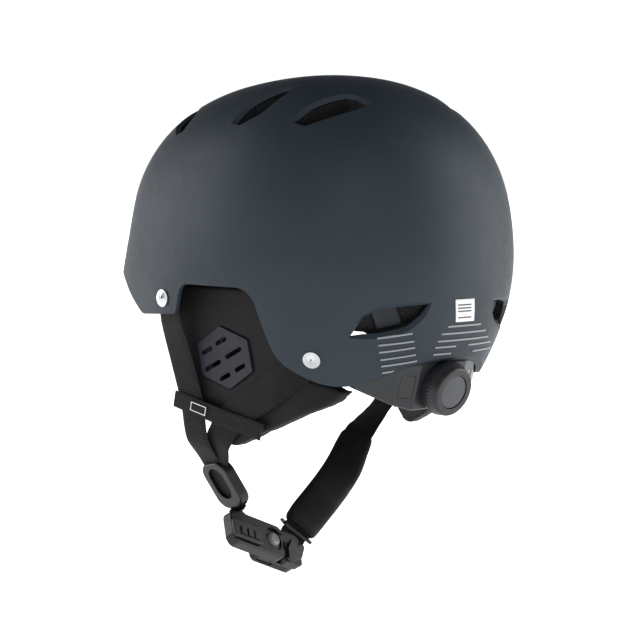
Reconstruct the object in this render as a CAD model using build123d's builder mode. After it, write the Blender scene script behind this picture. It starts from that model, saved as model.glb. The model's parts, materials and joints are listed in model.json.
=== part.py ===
"""Water helmet: moulded shell, foam liner, ear pads, chin strap and dial fit system.

Millimetres. +Z is up, the brow faces -Y, the wearer's left side is +X.
The origin is the reference point of the head, in the middle of the dome's widest ring.
"""
import os
from math import cos, pi, radians, sin, tanh

from build123d import *

os.makedirs("parts", exist_ok=True)

# ---- driving dimensions -------------------------------------------------------------
HALF_WIDTH = 107.7          # dome, widest half width
HALF_LENGTH = 136.0         # dome, half length
CROWN_HEIGHT = 117.6        # dome, widest ring to crown
PLAN_POWER = 2.31           # 2 is an ellipse, more is squarer, seen from above
SIDE_POWER = 2.40           # the same, seen from the side
PITCH = radians(4.4)        # the widest ring rises to the rear
BROW_FLARE = 0.065          # outward lean of the brow
NAPE_CURL = 0.110           # inward curl of the nape
SHELL_THICKNESS = 2.6
LINER_INSET = 3.3           # outer face of the foam, from the outer face of the shell
LINER_THICKNESS = 12.0
HOOK_THICKNESS = 0.5        # hook-and-loop discs between the foam and the pads
PAD_GAP = 0.6               # from the foam to a comfort pad
PAD_THICKNESS = 6.0
POLE_Y, POLE_Z = 20.0, -38.0    # the dome's pages turn about a line through both ears

WEBBING_WIDTH = 20.0
WEBBING_THICKNESS = 1.5
RIVET_RADIUS = 5.5
RIVET_SHANK = 2.0
FRONT_RIVET = (-25.0, -25.0)    # y, z on the shell's side
REAR_RIVET = (79.4, -59.0)

DIAL_TILT = radians(16.0)       # the dial faces slightly down
CRADLE_ORIGIN = (0.0, 111.5, -78.0)
PINION_TEETH = 11
PINION_MODULE = 1.0
PITCH_RADIUS = PINION_TEETH * PINION_MODULE / 2
TOOTH_PITCH = pi * PINION_MODULE
RACK_FRONT, RACK_BACK = -8.6, -11.2     # rack thickness, in the cradle's own z

SIDES = {"left": 1, "right": -1}


# ---- the dome -----------------------------------------------------------------------
def dome_level(x, y, z, inset):
    """Below 1 inside the dome surface that lies inset under the outer one, above 1 outside."""
    length_axis = y * cos(PITCH) + z * sin(PITCH)
    height = z * cos(PITCH) - y * sin(PITCH)
    rearward = (1 + tanh(length_axis / 45)) / 2
    drop = min(max((35 - height) / 60, 0), 1)
    flare = BROW_FLARE * (1 - rearward) * drop * drop * (3 - 2 * drop)
    curl = NAPE_CURL * rearward * (min(height, 0) / 60) ** 2
    spread = 1 + flare - curl
    across = abs(x / spread / (HALF_WIDTH - inset)) ** PLAN_POWER
    along = abs(length_axis / spread / (HALF_LENGTH - inset)) ** PLAN_POWER
    ring = (across + along) ** (1 / PLAN_POWER)
    rise = max(height, 0) / (CROWN_HEIGHT - inset)
    return (ring ** SIDE_POWER + rise ** SIDE_POWER) ** (1 / SIDE_POWER)


def dome_hit(start, direction, inset):
    """The point where a ray from inside the dome leaves it."""
    near, far = 0.0, 280.0
    for _ in range(36):
        middle = (near + far) / 2
        place = [s + middle * d for s, d in zip(start, direction)]
        if dome_level(*place, inset) < 1:
            near = middle
        else:
            far = middle
    return tuple(s + near * d for s, d in zip(start, direction))


def dome_face(inset, pages=31, stations=29):
    """One smooth face over the dome, open around each ear and under the neck."""
    first_page, last_page, pole_gap = -28, 222, 9
    rows = []
    for i in range(pages):
        page = radians(first_page + (last_page - first_page) * i / (pages - 1))
        row = []
        for j in range(stations):
            tilt = radians(pole_gap + (180 - 2 * pole_gap) * j / (stations - 1))
            direction = (cos(tilt), -sin(tilt) * cos(page), sin(tilt) * sin(page))
            row.append(dome_hit((0, POLE_Y, POLE_Z), direction, inset))
        rows.append(row)
    return Face.make_surface_from_array_of_points(rows, tol=0.3, smoothing=(1, 1, 1), max_deg=5)


def side_plane(y, z, side, depth=0.0):
    """A plane on the dome's side at this y and z, its z axis pointing out of the shell."""
    step = 0.5
    x, _, _ = dome_hit((0, y, z), (1, 0, 0), 0)
    x_behind, _, _ = dome_hit((0, y + step, z), (1, 0, 0), 0)
    x_above, _, _ = dome_hit((0, y, z + step), (1, 0, 0), 0)
    outward = Vector(side, -(x_behind - x) / step, -(x_above - x) / step).normalized()
    return Plane(origin=Vector(side * x, y, z) - outward * depth, x_dir=(0, 1, 0), z_dir=outward)


def trim_below(edge_points, edge_radii):
    """Cut away everything under an edge line drawn in side view."""
    with BuildSketch(Plane.YZ) as below:
        with BuildLine():
            FilletPolyline(*edge_points, radius=edge_radii)
            Polyline(edge_points[-1], (190, -220), (-190, -220), edge_points[0])
        make_face()
    extrude(below.sketch, amount=200, both=True, mode=Mode.SUBTRACT)


# ---- vents: origin, outward normal, long direction, outline -------------------------
VENTS = {
    "rear_top": ((54.6, 70.5, 93.9), (0.491, 0.392, 0.778), (-0.785, 0.587, 0.200),
                 ((-25, -3), (-8, 3.5), (12, 8), (17, 6), (23.5, -2.5), (3, -6), (-18.5, -9.5))),
    "mid_top": ((69.5, 22.4, 96.4), (0.625, 0.061, 0.779), (-0.699, 0.488, 0.523),
                ((-19, 1), (-3, 4.5), (17, 5.3), (26, 1), (-4, -7.8), (-17, -4.5))),
    "front_top": ((66.0, -54.0, 90.0), (0.560, -0.330, 0.760), (-0.760, -0.560, 0.310),
                  ((-19, 1), (-17, 6), (4, 7.5), (24, 1), (12, -4), (-8, -5))),
    "nape_side": ((49.1, 118.4, -34.3), (0.460, 0.846, -0.269), (-0.764, 0.532, 0.364),
                  ((-27.5, -1), (-16, 7.8), (-8, 8), (25, -0.5), (18, -5), (8, -6.5))),
}


def vent_plane(name, side):
    origin, outward, along, _ = VENTS[name]
    flip = Vector(side, 1, 1)
    origin, outward, along = (
        Vector(v[0] * flip.X, v[1], v[2]) for v in (origin, outward, along)
    )
    return Plane(origin=origin, x_dir=along, z_dir=outward)


def cut_vents(names, grow, depth, bevel):
    """Cut the named vents through, each with a sloping rim if bevel is not zero."""
    for side in SIDES.values():
        for name in names:
            # a mirrored outline keeps the left and right vents alike
            outline = [(u, side * v) for u, v in VENTS[name][3]]
            plane = vent_plane(name, side)
            with BuildSketch(plane.offset(4)) as mouth:
                with BuildLine():
                    Polyline(*outline, close=True)
                make_face()
                if grow:
                    offset(amount=grow, kind=Kind.INTERSECTION)
            extrude(mouth.sketch, amount=-depth, mode=Mode.SUBTRACT)
            if bevel:
                with BuildSketch(plane.offset(2)) as rim:
                    with BuildLine():
                        Polyline(*outline, close=True)
                    make_face()
                    offset(amount=bevel, kind=Kind.INTERSECTION)
                extrude(rim.sketch, amount=-bevel, taper=45, mode=Mode.SUBTRACT)


# ---- outer shell --------------------------------------------------------------------
SHELL_EDGE = ((-190, -4), (-88, -13), (-50, -36.5), (-13.5, -34.5), (-7.5, -15), (50, -16),
              (59, -62), (87, -81), (125, -57), (190, -47))
SHELL_EDGE_RADII = [60, 9, 5, 7, 14, 22, 25, 60]

with BuildPart() as outer_shell:
    thicken(dome_face(0), amount=-SHELL_THICKNESS)
    trim_below(SHELL_EDGE, SHELL_EDGE_RADII)
    cut_vents(VENTS, 0, 12, 5)
    for side in SIDES.values():
        for spot in (FRONT_RIVET, REAR_RIVET):
            with BuildSketch(side_plane(*spot, side)):
                Circle(RIVET_SHANK + 0.1)
            extrude(amount=6, both=True, mode=Mode.SUBTRACT)
outer_shell.part.label = "outer_shell"
export_step(outer_shell.part, "parts/outer_shell.step")

# ---- foam liner and comfort pads ----------------------------------------------------
LINER_EDGE = ((-190, 2), (-88, -8), (-46, -12), (70, -12), (92, -40), (125, -47), (190, -41))
LINER_EDGE_RADII = [60, 12, 12, 14, 20]

liner_block = Solid.thicken(dome_face(LINER_INSET), -LINER_THICKNESS)
liner_inner_face = liner_block.faces().sort_by(SortBy.AREA)[-2]

with BuildPart() as foam_liner:
    add(liner_block)
    trim_below(LINER_EDGE, LINER_EDGE_RADII)
    cut_vents(("rear_top", "mid_top", "front_top"), 1.5, 60, 0)
    cut_vents(("nape_side",), 1.5, 13.2, 0)
foam_liner.part.label = "foam_liner"
export_step(foam_liner.part, "parts/foam_liner.step")

# name: plane to draw on, centre in that plane, width, height, corner radius, reach
COMFORT_PADS = {
    "front_pad": (Plane.XZ, (0, 16), 120, 30, 12, 160),
    "crown_pad": (Plane.XY, (0, 0), 62, 96, 24, 160),
    "rear_pad": (Plane.XZ, (0, 20), 110, 44, 16, -160),
    "left_side_pad": (Plane.YZ, (12, 22), 92, 38, 14, 160),
    "right_side_pad": (Plane.YZ, (12, 22), 92, 38, 14, -160),
}

pad_layer = Solid.thicken(liner_inner_face, PAD_GAP + PAD_THICKNESS)
gap_layer = Solid.thicken(liner_inner_face, PAD_GAP)
for pad_name, (pad_plane, centre, pad_width, pad_height, corner, reach) in COMFORT_PADS.items():
    with BuildPart() as comfort_pad:
        with BuildSketch(pad_plane):
            with Locations(centre):
                RectangleRounded(pad_width, pad_height, corner)
        extrude(amount=reach)
        add(pad_layer, mode=Mode.INTERSECT)
        add(gap_layer, mode=Mode.SUBTRACT)
    comfort_pad.part.label = pad_name
    export_step(comfort_pad.part, f"parts/{pad_name}.step")

# directions from the origin to the hook-and-loop discs
HOOK_DOT_RAYS = ((-0.35, -1, 0.12), (0.35, -1, 0.12), (0, -0.25, 1), (0, 0.25, 1),
                 (-0.3, 1, 0.12), (0.3, 1, 0.12), (1, -0.15, 0.2), (1, 0.4, 0.2),
                 (-1, -0.15, 0.2), (-1, 0.4, 0.2))
HOOK_DOT_RADIUS = 9.0

with BuildPart() as hook_dots:
    for ray in HOOK_DOT_RAYS:
        outward = Vector(*ray).normalized()
        seat = dome_hit((0, 0, 0), tuple(outward), LINER_INSET + LINER_THICKNESS)
        with BuildSketch(Plane(origin=seat, z_dir=outward)):
            Circle(HOOK_DOT_RADIUS)
        extrude(amount=12, both=True)
    add(Solid.thicken(liner_inner_face, HOOK_THICKNESS), mode=Mode.INTERSECT)
hook_dots.part.label = "hook_dots"
export_step(hook_dots.part, "parts/hook_dots.step")

# fabric bands behind the two nape vents
with BuildPart() as vent_webs:
    for side in SIDES.values():
        back = vent_plane("nape_side", side).offset(-SHELL_THICKNESS - 4.0)
        with BuildSketch(back):
            Polygon(*[(u, side * v) for u, v in VENTS["nape_side"][3]], align=None)
            offset(amount=1.0)
            with Locations((-2, 0)):
                Rectangle(15, 34, mode=Mode.INTERSECT)
        extrude(amount=-1.2)
vent_webs.part.label = "vent_webs"
export_step(vent_webs.part, "parts/vent_webs.step")

# ---- strap rivets -------------------------------------------------------------------
STRAP_DEPTH = SHELL_THICKNESS + 1.3 + WEBBING_THICKNESS / 2    # strap's middle under the shell
BACKING_TOP = STRAP_DEPTH + WEBBING_THICKNESS / 2 + 0.8
BACKING_THICKNESS = 1.4
ARM_THICKNESS = 1.6
ARM_DEPTH = BACKING_TOP + BACKING_THICKNESS + 0.6 + ARM_THICKNESS / 2   # at the rear rivets

RIVET_RIM, RIVET_RISE = 0.7, 1.7
DOME_RADIUS = (RIVET_RADIUS ** 2 + RIVET_RISE ** 2) / (2 * RIVET_RISE)

with BuildPart() as strap_rivets:
    for side in SIDES.values():
        for spot in (FRONT_RIVET, REAR_RIVET):
            seat = side_plane(*spot, side, depth=-0.1)
            with BuildSketch(seat):
                Circle(RIVET_RADIUS)
            extrude(amount=RIVET_RIM)
            with BuildSketch(Plane(origin=seat.origin + seat.z_dir * RIVET_RIM,
                                   x_dir=seat.x_dir, z_dir=seat.y_dir)):
                with BuildLine():
                    Line((0, 0), (RIVET_RADIUS, 0))
                    RadiusArc((RIVET_RADIUS, 0), (0, -RIVET_RISE), -DOME_RADIUS)
                    Line((0, -RIVET_RISE), (0, 0))
                make_face()
            revolve(axis=Axis(seat.origin, seat.z_dir))
            with BuildSketch(seat):
                Circle(RIVET_SHANK)
            extrude(amount=-(ARM_DEPTH + ARM_THICKNESS / 2 + 0.8))
strap_rivets.part.label = "strap_rivets"
export_step(strap_rivets.part, "parts/strap_rivets.step")

with BuildPart() as rivet_backings:
    for side in SIDES.values():
        for spot in (FRONT_RIVET, REAR_RIVET):
            with BuildSketch(side_plane(*spot, side, depth=BACKING_TOP)):
                Circle(5.0)
                Circle(RIVET_SHANK + 0.05, mode=Mode.SUBTRACT)
            extrude(amount=-BACKING_THICKNESS)
rivet_backings.part.label = "rivet_backings"
export_step(rivet_backings.part, "parts/rivet_backings.step")


# ---- ear pads -----------------------------------------------------------------------
EAR_PAD_THICKNESS = 11.0
EAR_PAD_OUTLINE = ((-31, -17), (-33, -40), (-24, -88), (8, -119), (34, -119), (60, -101),
                   (60, -17))
EAR_PAD_RADII = [24, 30, 14, 22, 10]
EAR_VENT_CENTRE = (9.5, -62.0)
EAR_VENT_RADIUS = 20.0
EAR_VENT_STRETCH = 1.2      # the hexagon is wider than it is high


def ear_pad_x(y, z):
    """Outer face of the left ear pad: it turns inward to the rear and to its lower edge."""
    rearward = max(y - 10, 0)
    return 89 - 0.17 * (y - 10) - 0.0009 * rearward ** 2 + 0.06 * (z + 60)


def ear_face(depth):
    rows = [[(ear_pad_x(y, z) - depth, y, z) for y in range(-50, 91, 20)]
            for z in range(-130, 0, 16)]
    return Face.make_surface_from_array_of_points(rows, tol=0.2, smoothing=(1, 1, 1), max_deg=5)


def ear_plane(y, z, depth=0.0):
    """A plane on the left ear pad, its x axis running to the rear and its z axis outward."""
    slope_y = ear_pad_x(y + 1, z) - ear_pad_x(y, z)
    slope_z = ear_pad_x(y, z + 1) - ear_pad_x(y, z)
    outward = Vector(1, -slope_y, -slope_z).normalized()
    origin = Vector(ear_pad_x(y, z), y, z) - outward * depth
    return Plane(origin=origin, x_dir=Vector(slope_y, 1, 0), z_dir=outward)


def ear_hexagon(radius):
    """Corners of the hexagonal insert, tilted a little."""
    turns = [radians(98 + 60 * i) for i in range(6)]
    return [(EAR_VENT_STRETCH * radius * cos(t), radius * sin(t)) for t in turns]


ear_layer = Solid.extrude(ear_face(EAR_PAD_THICKNESS), (EAR_PAD_THICKNESS, 0, 0))
with BuildPart() as left_ear_pad:
    with BuildSketch(Plane.YZ):
        with BuildLine():
            FilletPolyline(*EAR_PAD_OUTLINE, radius=EAR_PAD_RADII)
            Line(EAR_PAD_OUTLINE[-1], EAR_PAD_OUTLINE[0])
        make_face()
    extrude(amount=140)
    add(ear_layer, mode=Mode.INTERSECT)
    with BuildSketch(ear_plane(*EAR_VENT_CENTRE, depth=-2)):
        Polygon(*ear_hexagon(EAR_VENT_RADIUS + 0.3), align=None)
    extrude(amount=-3.8, mode=Mode.SUBTRACT)
    with BuildSketch(ear_plane(*EAR_VENT_CENTRE)):
        Circle(13.5)
    extrude(amount=20, both=True, mode=Mode.SUBTRACT)
left_ear_pad.part.label = "left_ear_pad"
export_step(left_ear_pad.part, "parts/left_ear_pad.step")

# six slanting slots: centre and length of each, in the insert's own plane
EAR_SLOTS = ((-14.5, 3.6, 10), (-2.5, 10.4, 10), (7.4, 3.4, 15),
             (-9.9, -5.7, 15), (12.5, -5.7, 10), (-0.2, -12.3, 10))
EAR_SLOT_TILT = 27
with BuildPart() as left_ear_vent:
    with BuildSketch(ear_plane(*EAR_VENT_CENTRE, depth=1.5)):
        Polygon(*ear_hexagon(EAR_VENT_RADIUS), align=None)
    extrude(amount=2.3)
    fillet(left_ear_vent.faces().sort_by(Axis.X)[-1].edges(), 0.6)
    with BuildSketch(ear_plane(*EAR_VENT_CENTRE, depth=3)):
        for u, v, slot_length in EAR_SLOTS:
            with Locations((u, v)):
                SlotOverall(slot_length, 3.0, rotation=EAR_SLOT_TILT)
    extrude(amount=8, mode=Mode.SUBTRACT)
left_ear_vent.part.label = "left_ear_vent"
export_step(left_ear_vent.part, "parts/left_ear_vent.step")

for left_piece, right_name in ((left_ear_pad, "right_ear_pad"), (left_ear_vent, "right_ear_vent")):
    with BuildPart() as mirrored_piece:
        add(left_piece.part)
        mirror(about=Plane.YZ, mode=Mode.REPLACE)
    mirrored_piece.part.label = right_name
    export_step(mirrored_piece.part, f"parts/{right_name}.step")


# ---- webbing ------------------------------------------------------------------------
def ribbon(stations, width, thickness):
    """A flat strip through (centre, outward direction) stations, width in mm or one per station."""
    centres = [Vector(*centre) for centre, _ in stations]
    widths = width if isinstance(width, (list, tuple)) else [width] * len(stations)
    with BuildPart() as strip:
        for i, (_, outward) in enumerate(stations):
            along = centres[min(i + 1, len(centres) - 1)] - centres[max(i - 1, 0)]
            across = Vector(*outward).cross(along)
            with BuildSketch(Plane(origin=centres[i], x_dir=across, z_dir=along)):
                Rectangle(widths[i], thickness)
        loft(ruled=True)
    return strip


def under_shell(y, z, side, depth):
    """A station on the inner side of the shell."""
    seat = side_plane(y, z, side, depth)
    return tuple(seat.origin), tuple(seat.z_dir)


def flipped(stations):
    """The same stations on the wearer's other side."""
    return [((-c[0], c[1], c[2]), (-o[0], o[1], o[2])) for c, o in stations]


OUT = (1, 0.17, -0.06)          # outward from the left ear pad
FRONT_STRAP_TOP = [under_shell(-27, -16, 1, STRAP_DEPTH), under_shell(*FRONT_RIVET, 1, STRAP_DEPTH),
                   ((105.4, -24.5, -40), (1, 0, 0.10))]
REAR_STRAP_TOP = [under_shell(88, -54, 1, STRAP_DEPTH), under_shell(*REAR_RIVET, 1, STRAP_DEPTH),
                  under_shell(70, -66.5, 1, STRAP_DEPTH)]

# the sliders: centre, direction down the strap
SLIDERS = {
    "left": ((72.5, -10.5, -147), (-0.435, 0.234, -0.870)),
    "right": ((-97.6, -18.0, -90.0), (0.02, -0.50, -0.866)),
}
SLIDER_WIDTH, SLIDER_LENGTH, SLIDER_DEPTH = 27.0, 34.0, 7.6
SLIDER_SLOT = 4.2
LAYER = 1.0                     # each strap's middle, from the middle of the slot


def slider_plane(side_name):
    """Centred on the slider, x to the rear, y up the strap, z away from the head."""
    centre, down = SLIDERS[side_name]
    down = Vector(*down).normalized()
    outward = (Vector(0, 1, 0).cross(down)).normalized()
    if outward.X * SIDES[side_name] < 0:
        outward = -outward
    return Plane(origin=centre, x_dir=(-down).cross(outward), z_dir=outward)


def in_slider(side_name, up, layer):
    """A station in the slider's slot, this far up the strap."""
    plane = slider_plane(side_name)
    centre = plane.from_local_coords(Vector(0, up, layer * LAYER))
    return tuple(centre), tuple(plane.z_dir)


# the buckle hangs below the left slider: x along it, z towards the chin side
BUCKLE = Plane(origin=(62.4, 3.2, -180.2), x_dir=(-0.917, 0, -0.4), z_dir=(-0.23, 0.82, 0.53))
STRAP_SEAT_X = -8.0             # middle of the strap's slot in the buckle
FRONT_SEAT_Z, REAR_SEAT_Z = -1.55, 0.05


def in_buckle(x, y, z):
    """A station of a strap that lies flat in the buckle."""
    return tuple(BUCKLE.from_local_coords(Vector(x, y, z))), tuple(-BUCKLE.z_dir)


STRAP_ROUTES = {
    "left_front_strap": FRONT_STRAP_TOP + [
        ((100, -22, -62), (1, 0.05, 0.20)), ((94.8, -17, -92), (1, 0.12, -0.06)),
        ((92.4, -14.5, -116), (1, 0.08, -0.15)),
        in_slider("left", 18, 1), in_slider("left", -17.3, 1),
        in_buckle(STRAP_SEAT_X, 12, FRONT_SEAT_Z), in_buckle(STRAP_SEAT_X, -5, FRONT_SEAT_Z)],
    "left_rear_strap": REAR_STRAP_TOP + [
        ((80.9, 57, -73), (0.92, 0.30, -0.20)), ((83.8, 44, -82), OUT), ((87.4, 17, -98), OUT),
        ((88.4, 2, -115), OUT), ((82.6, -7, -127), (0.95, 0.1, -0.3)),
        in_slider("left", 19, -1), in_slider("left", -17.3, -1),
        in_buckle(STRAP_SEAT_X, 12, REAR_SEAT_Z), in_buckle(STRAP_SEAT_X, -5, REAR_SEAT_Z)],
    "right_front_strap": flipped(FRONT_STRAP_TOP) + [
        ((-104.0, -17, -56), (-1, 0.1, 0.05)), in_slider("right", 21, 1),
        in_slider("right", -13, 1)],
    "right_rear_strap": flipped(REAR_STRAP_TOP) + [
        ((-80.9, 57, -71), (-0.92, 0.30, -0.20)), ((-84.4, 44, -74), (-1, 0.17, -0.06)),
        ((-89.4, 24, -72), (-1, 0.17, -0.06)), ((-94.4, 7, -66), (-1, 0.2, 0)),
        in_slider("right", 21, -1), in_slider("right", -13, -1)],
}
for strap_name, stations in STRAP_ROUTES.items():
    side = SIDES[strap_name.split("_")[0]]
    rivet = FRONT_RIVET if "front" in strap_name else REAR_RIVET
    with BuildPart() as strap:
        add(ribbon(stations, WEBBING_WIDTH, WEBBING_THICKNESS).part)
        with BuildSketch(side_plane(*rivet, side)):
            Circle(RIVET_SHANK + 0.05)
        extrude(amount=-12, mode=Mode.SUBTRACT)
    strap.part.label = strap_name
    export_step(strap.part, f"parts/{strap_name}.step")

# elastic bands that hold the straps against the ear pads, and their woven tags
BAND_WIDTH, BAND_THICKNESS = 11.0, 0.9
BAND_ROUTES = {
    "left": [((99.4, -29, -90.5), OUT), ((97.3, -17, -93.5), OUT),
             ((94.3, 0, -97.5), OUT), ((90.6, 15, -101.5), (1, 0.20, 0)),
             ((87.0, 32, -105), (1, 0.20, 0)), ((85.4, 40, -107), (1, 0.17, 0))],
    "right": [((-107.4, -30, -50), (-1, 0.1, 0)), ((-106.4, -18, -54), (-1, 0.1, 0)),
              ((-101.5, 2, -61), (-1, 0.25, 0)), ((-95.6, 20, -66), (-1, 0.30, 0)),
              ((-90.2, 36, -70), (-1, 0.28, 0)), ((-87.4, 46, -73), (-1, 0.17, 0))],
}
for side_name, route in BAND_ROUTES.items():
    band = ribbon(route, BAND_WIDTH, BAND_THICKNESS)
    band.part.label = f"{side_name}_keeper_band"
    export_step(band.part, f"parts/{side_name}_keeper_band.step")

    along = Vector(*route[2][0]) - Vector(*route[1][0])
    outward = Vector(*route[1][1]) + Vector(*route[2][1])
    outward = (outward - along * (outward.dot(along) / along.length ** 2)).normalized()
    middle = (Vector(*route[1][0]) + Vector(*route[2][0])) / 2
    with BuildPart() as tag:
        with BuildSketch(Plane(origin=middle + outward * (BAND_THICKNESS / 2 + 0.1),
                               x_dir=along, z_dir=outward)):
            RectangleRounded(15, 7.5, 0.8)
        extrude(amount=0.5)
    tag.part.label = f"{side_name}_tag"
    export_step(tag.part, f"parts/{side_name}_tag.step")

# ---- sliders ------------------------------------------------------------------------
for side_name in SIDES:
    plane = slider_plane(side_name)
    with BuildPart() as slider:
        with BuildSketch(plane.offset(-SLIDER_DEPTH / 2)):
            RectangleRounded(SLIDER_WIDTH, SLIDER_LENGTH, 9)
        extrude(amount=SLIDER_DEPTH)
        fillet(slider.edges().filter_by(lambda e: not e.is_interior), 1.2)
        with BuildSketch(Plane(origin=plane.origin, x_dir=plane.x_dir, z_dir=plane.y_dir)):
            Rectangle(WEBBING_WIDTH + 1.2, SLIDER_SLOT)
        extrude(amount=SLIDER_LENGTH, both=True, mode=Mode.SUBTRACT)
        with BuildSketch(plane):
            with Locations((0, 2)):
                SlotOverall(23, 15, rotation=90)
        extrude(amount=SLIDER_DEPTH, mode=Mode.SUBTRACT)
        with BuildSketch(plane):
            with Locations((0, 4)):
                SlotOverall(19, 15, rotation=90)
        extrude(amount=-SLIDER_DEPTH, mode=Mode.SUBTRACT)
    slider.part.label = f"{side_name}_strap_slider"
    export_step(slider.part, f"parts/{side_name}_strap_slider.step")

# ---- buckle -------------------------------------------------------------------------
FLOOR = (Align.CENTER, Align.CENTER, Align.MIN)


def block(plane, low, high, mode=Mode.ADD):
    """A box between two corners given in a plane's own coordinates."""
    centre = [(a + b) / 2 for a, b in zip(low, high)]
    sizes = [b - a for a, b in zip(low, high)]
    with Locations(plane):
        with Locations(tuple(centre)):
            Box(*sizes, mode=mode)


def across(plane, place, radius, length, direction, mode=Mode.ADD):
    """A cylinder centred on a point of a plane, along one of the plane's directions."""
    centre = plane.from_local_coords(Vector(*place))
    with Locations(Plane(origin=centre, z_dir=direction)):
        Cylinder(radius, length, mode=mode)


SEAT_LOW, SEAT_HIGH = -18.4, 2.4        # the strap's slot, along the buckle
LEVER_PIN = (STRAP_SEAT_X, 2.5, 2.6)
LEVER_PIN_RADIUS = 0.9
DISH_CENTRE = (18.5, 1.0)
RAIL_GAP = 0.3
with BuildPart() as buckle_socket:
    with BuildSketch(BUCKLE.offset(-3.6)) as outline:
        with Locations((3.5, 0)):
            RectangleRounded(49, 24, 6)
    extrude(outline.sketch, amount=7.2)
    fillet(buckle_socket.faces().sort_by(Axis((0, 0, 0), tuple(BUCKLE.z_dir)))[-1].edges(), 0.9)
    block(BUCKLE, (SEAT_LOW, -7, -2.4), (SEAT_HIGH, 13, 1.0), Mode.SUBTRACT)
    block(BUCKLE, (SEAT_LOW, -7, 0.5), (SEAT_HIGH, 5.5, 4.0), Mode.SUBTRACT)
    across(BUCKLE, LEVER_PIN, LEVER_PIN_RADIUS + 0.02, 24.4, BUCKLE.x_dir, Mode.SUBTRACT)
    with BuildSketch(BUCKLE.offset(1.0)) as dish:
        with Locations(DISH_CENTRE):
            Circle(8.2)
    extrude(dish.sketch, amount=5, mode=Mode.SUBTRACT)
    with BuildSketch(BUCKLE.offset(2.2)) as mouth:
        with Locations((DISH_CENTRE[0] + 6, DISH_CENTRE[1])):
            Rectangle(12, 12)
    extrude(mouth.sketch, amount=5, mode=Mode.SUBTRACT)
    block(BUCKLE, (13, -10.8, -6.2), (21, 10.8, -3.5))
    block(BUCKLE, (10, -10.8, -8.0), (24, 10.8, -6.1))
buckle_socket.part.label = "buckle_socket"
export_step(buckle_socket.part, "parts/buckle_socket.step")

with BuildPart() as lever_pin:
    across(BUCKLE, LEVER_PIN, LEVER_PIN_RADIUS, 24.0, BUCKLE.x_dir)
lever_pin.part.label = "lever_pin"
export_step(lever_pin.part, "parts/lever_pin.step")

# the strap lock: a wide plate on a cam, with three grip blocks
with BuildPart() as cam_lever:
    with BuildSketch(BUCKLE.offset(4.0)) as plate:
        with Locations((STRAP_SEAT_X - 1, -3)):
            RectangleRounded(26, 13, 2)
    extrude(plate.sketch, amount=2.0)
    fillet(cam_lever.edges(), 0.5)
    across(BUCKLE, LEVER_PIN, 1.5, 20.2, BUCKLE.x_dir)
    block(BUCKLE, (-18.1, 1.3, 2.6), (2.1, 3.4, 4.6))
    for i in range(3):
        block(BUCKLE, (-16 + 6.2 * i, -7, 5.8), (-11.6 + 6.2 * i, -1.5, 7.0))
    across(BUCKLE, LEVER_PIN, LEVER_PIN_RADIUS + 0.05, 30, BUCKLE.x_dir, Mode.SUBTRACT)
cam_lever.part.label = "cam_lever"
export_step(cam_lever.part, "parts/cam_lever.step")

with BuildPart() as lock_button:
    with BuildSketch(BUCKLE.offset(1.05)) as foot:
        with Locations(DISH_CENTRE):
            Circle(5.2)
    extrude(foot.sketch, amount=3.6)
    fillet(lock_button.faces().sort_by(Axis((0, 0, 0), tuple(BUCKLE.z_dir)))[-1].edges(), 2.6)
lock_button.part.label = "lock_button"
export_step(lock_button.part, "parts/lock_button.step")

TONGUE_TURN = 61                # the chin strap leaves the tongue at this angle
CHIN_SEAT = (37.0, 0.5, -2.0)
chin_seat = Plane(
    origin=BUCKLE.from_local_coords(Vector(*CHIN_SEAT)),
    x_dir=BUCKLE.x_dir * cos(radians(TONGUE_TURN)) + BUCKLE.y_dir * sin(radians(TONGUE_TURN)),
    z_dir=BUCKLE.z_dir,
)
LEVER_HINGE = (29.6, -4.0, 2.0)
with BuildPart() as buckle_tongue:
    with BuildSketch(BUCKLE.offset(-10.2)) as foot:
        with Locations((25.5, 0)):
            RectangleRounded(37, 23, 4)
    extrude(foot.sketch, amount=6.3)
    with BuildSketch(BUCKLE.offset(-4.0)) as post:
        with Locations((36.9, 0)):
            RectangleRounded(17.0, 23, 3.5)
    extrude(post.sketch, amount=5.5)
    block(BUCKLE, (13 - RAIL_GAP, -13, -6.6), (21 + RAIL_GAP, 13, -3.5), Mode.SUBTRACT)
    block(BUCKLE, (10 - RAIL_GAP, -13, -8 - RAIL_GAP), (24 + RAIL_GAP, 13, -6.1 + RAIL_GAP),
          Mode.SUBTRACT)
    block(chin_seat, (-3, -10.6, -1.1), (24, 10.6, 1.1), Mode.SUBTRACT)
    block(BUCKLE, (28, -11, 1.1), (30.9, 3, 3.4), Mode.SUBTRACT)
    for i in range(3):
        block(BUCKLE, (12, -12, -9.3 + 1.5 * i), (38, -11, -8.7 + 1.5 * i), Mode.SUBTRACT)
buckle_tongue.part.label = "buckle_tongue"
export_step(buckle_tongue.part, "parts/buckle_tongue.step")

# thumb lever, crowned on its far edge
with BuildPart() as release_lever:
    with BuildSketch(BUCKLE.offset(2.9)) as crown:
        with BuildLine():
            FilletPolyline((28.8, -11), (29.4, -3), (34.7, 5.8), (38.3, 0.6), (45, 4.4),
                           (46.2, 1.5), (42, -7.2), (33, -12.5), radius=1.0, close=True)
        make_face()
    extrude(crown.sketch, amount=2.4)
    fillet(release_lever.faces().sort_by(Axis((0, 0, 0), tuple(BUCKLE.z_dir)))[-1].edges(), 0.5)
    across(BUCKLE, LEVER_HINGE, 0.85, 12, BUCKLE.y_dir)
    block(BUCKLE, (29, -9.9, 2.0), (30.2, 1.9, 3.2))
release_lever.part.label = "release_lever"
export_step(release_lever.part, "parts/release_lever.step")

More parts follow.
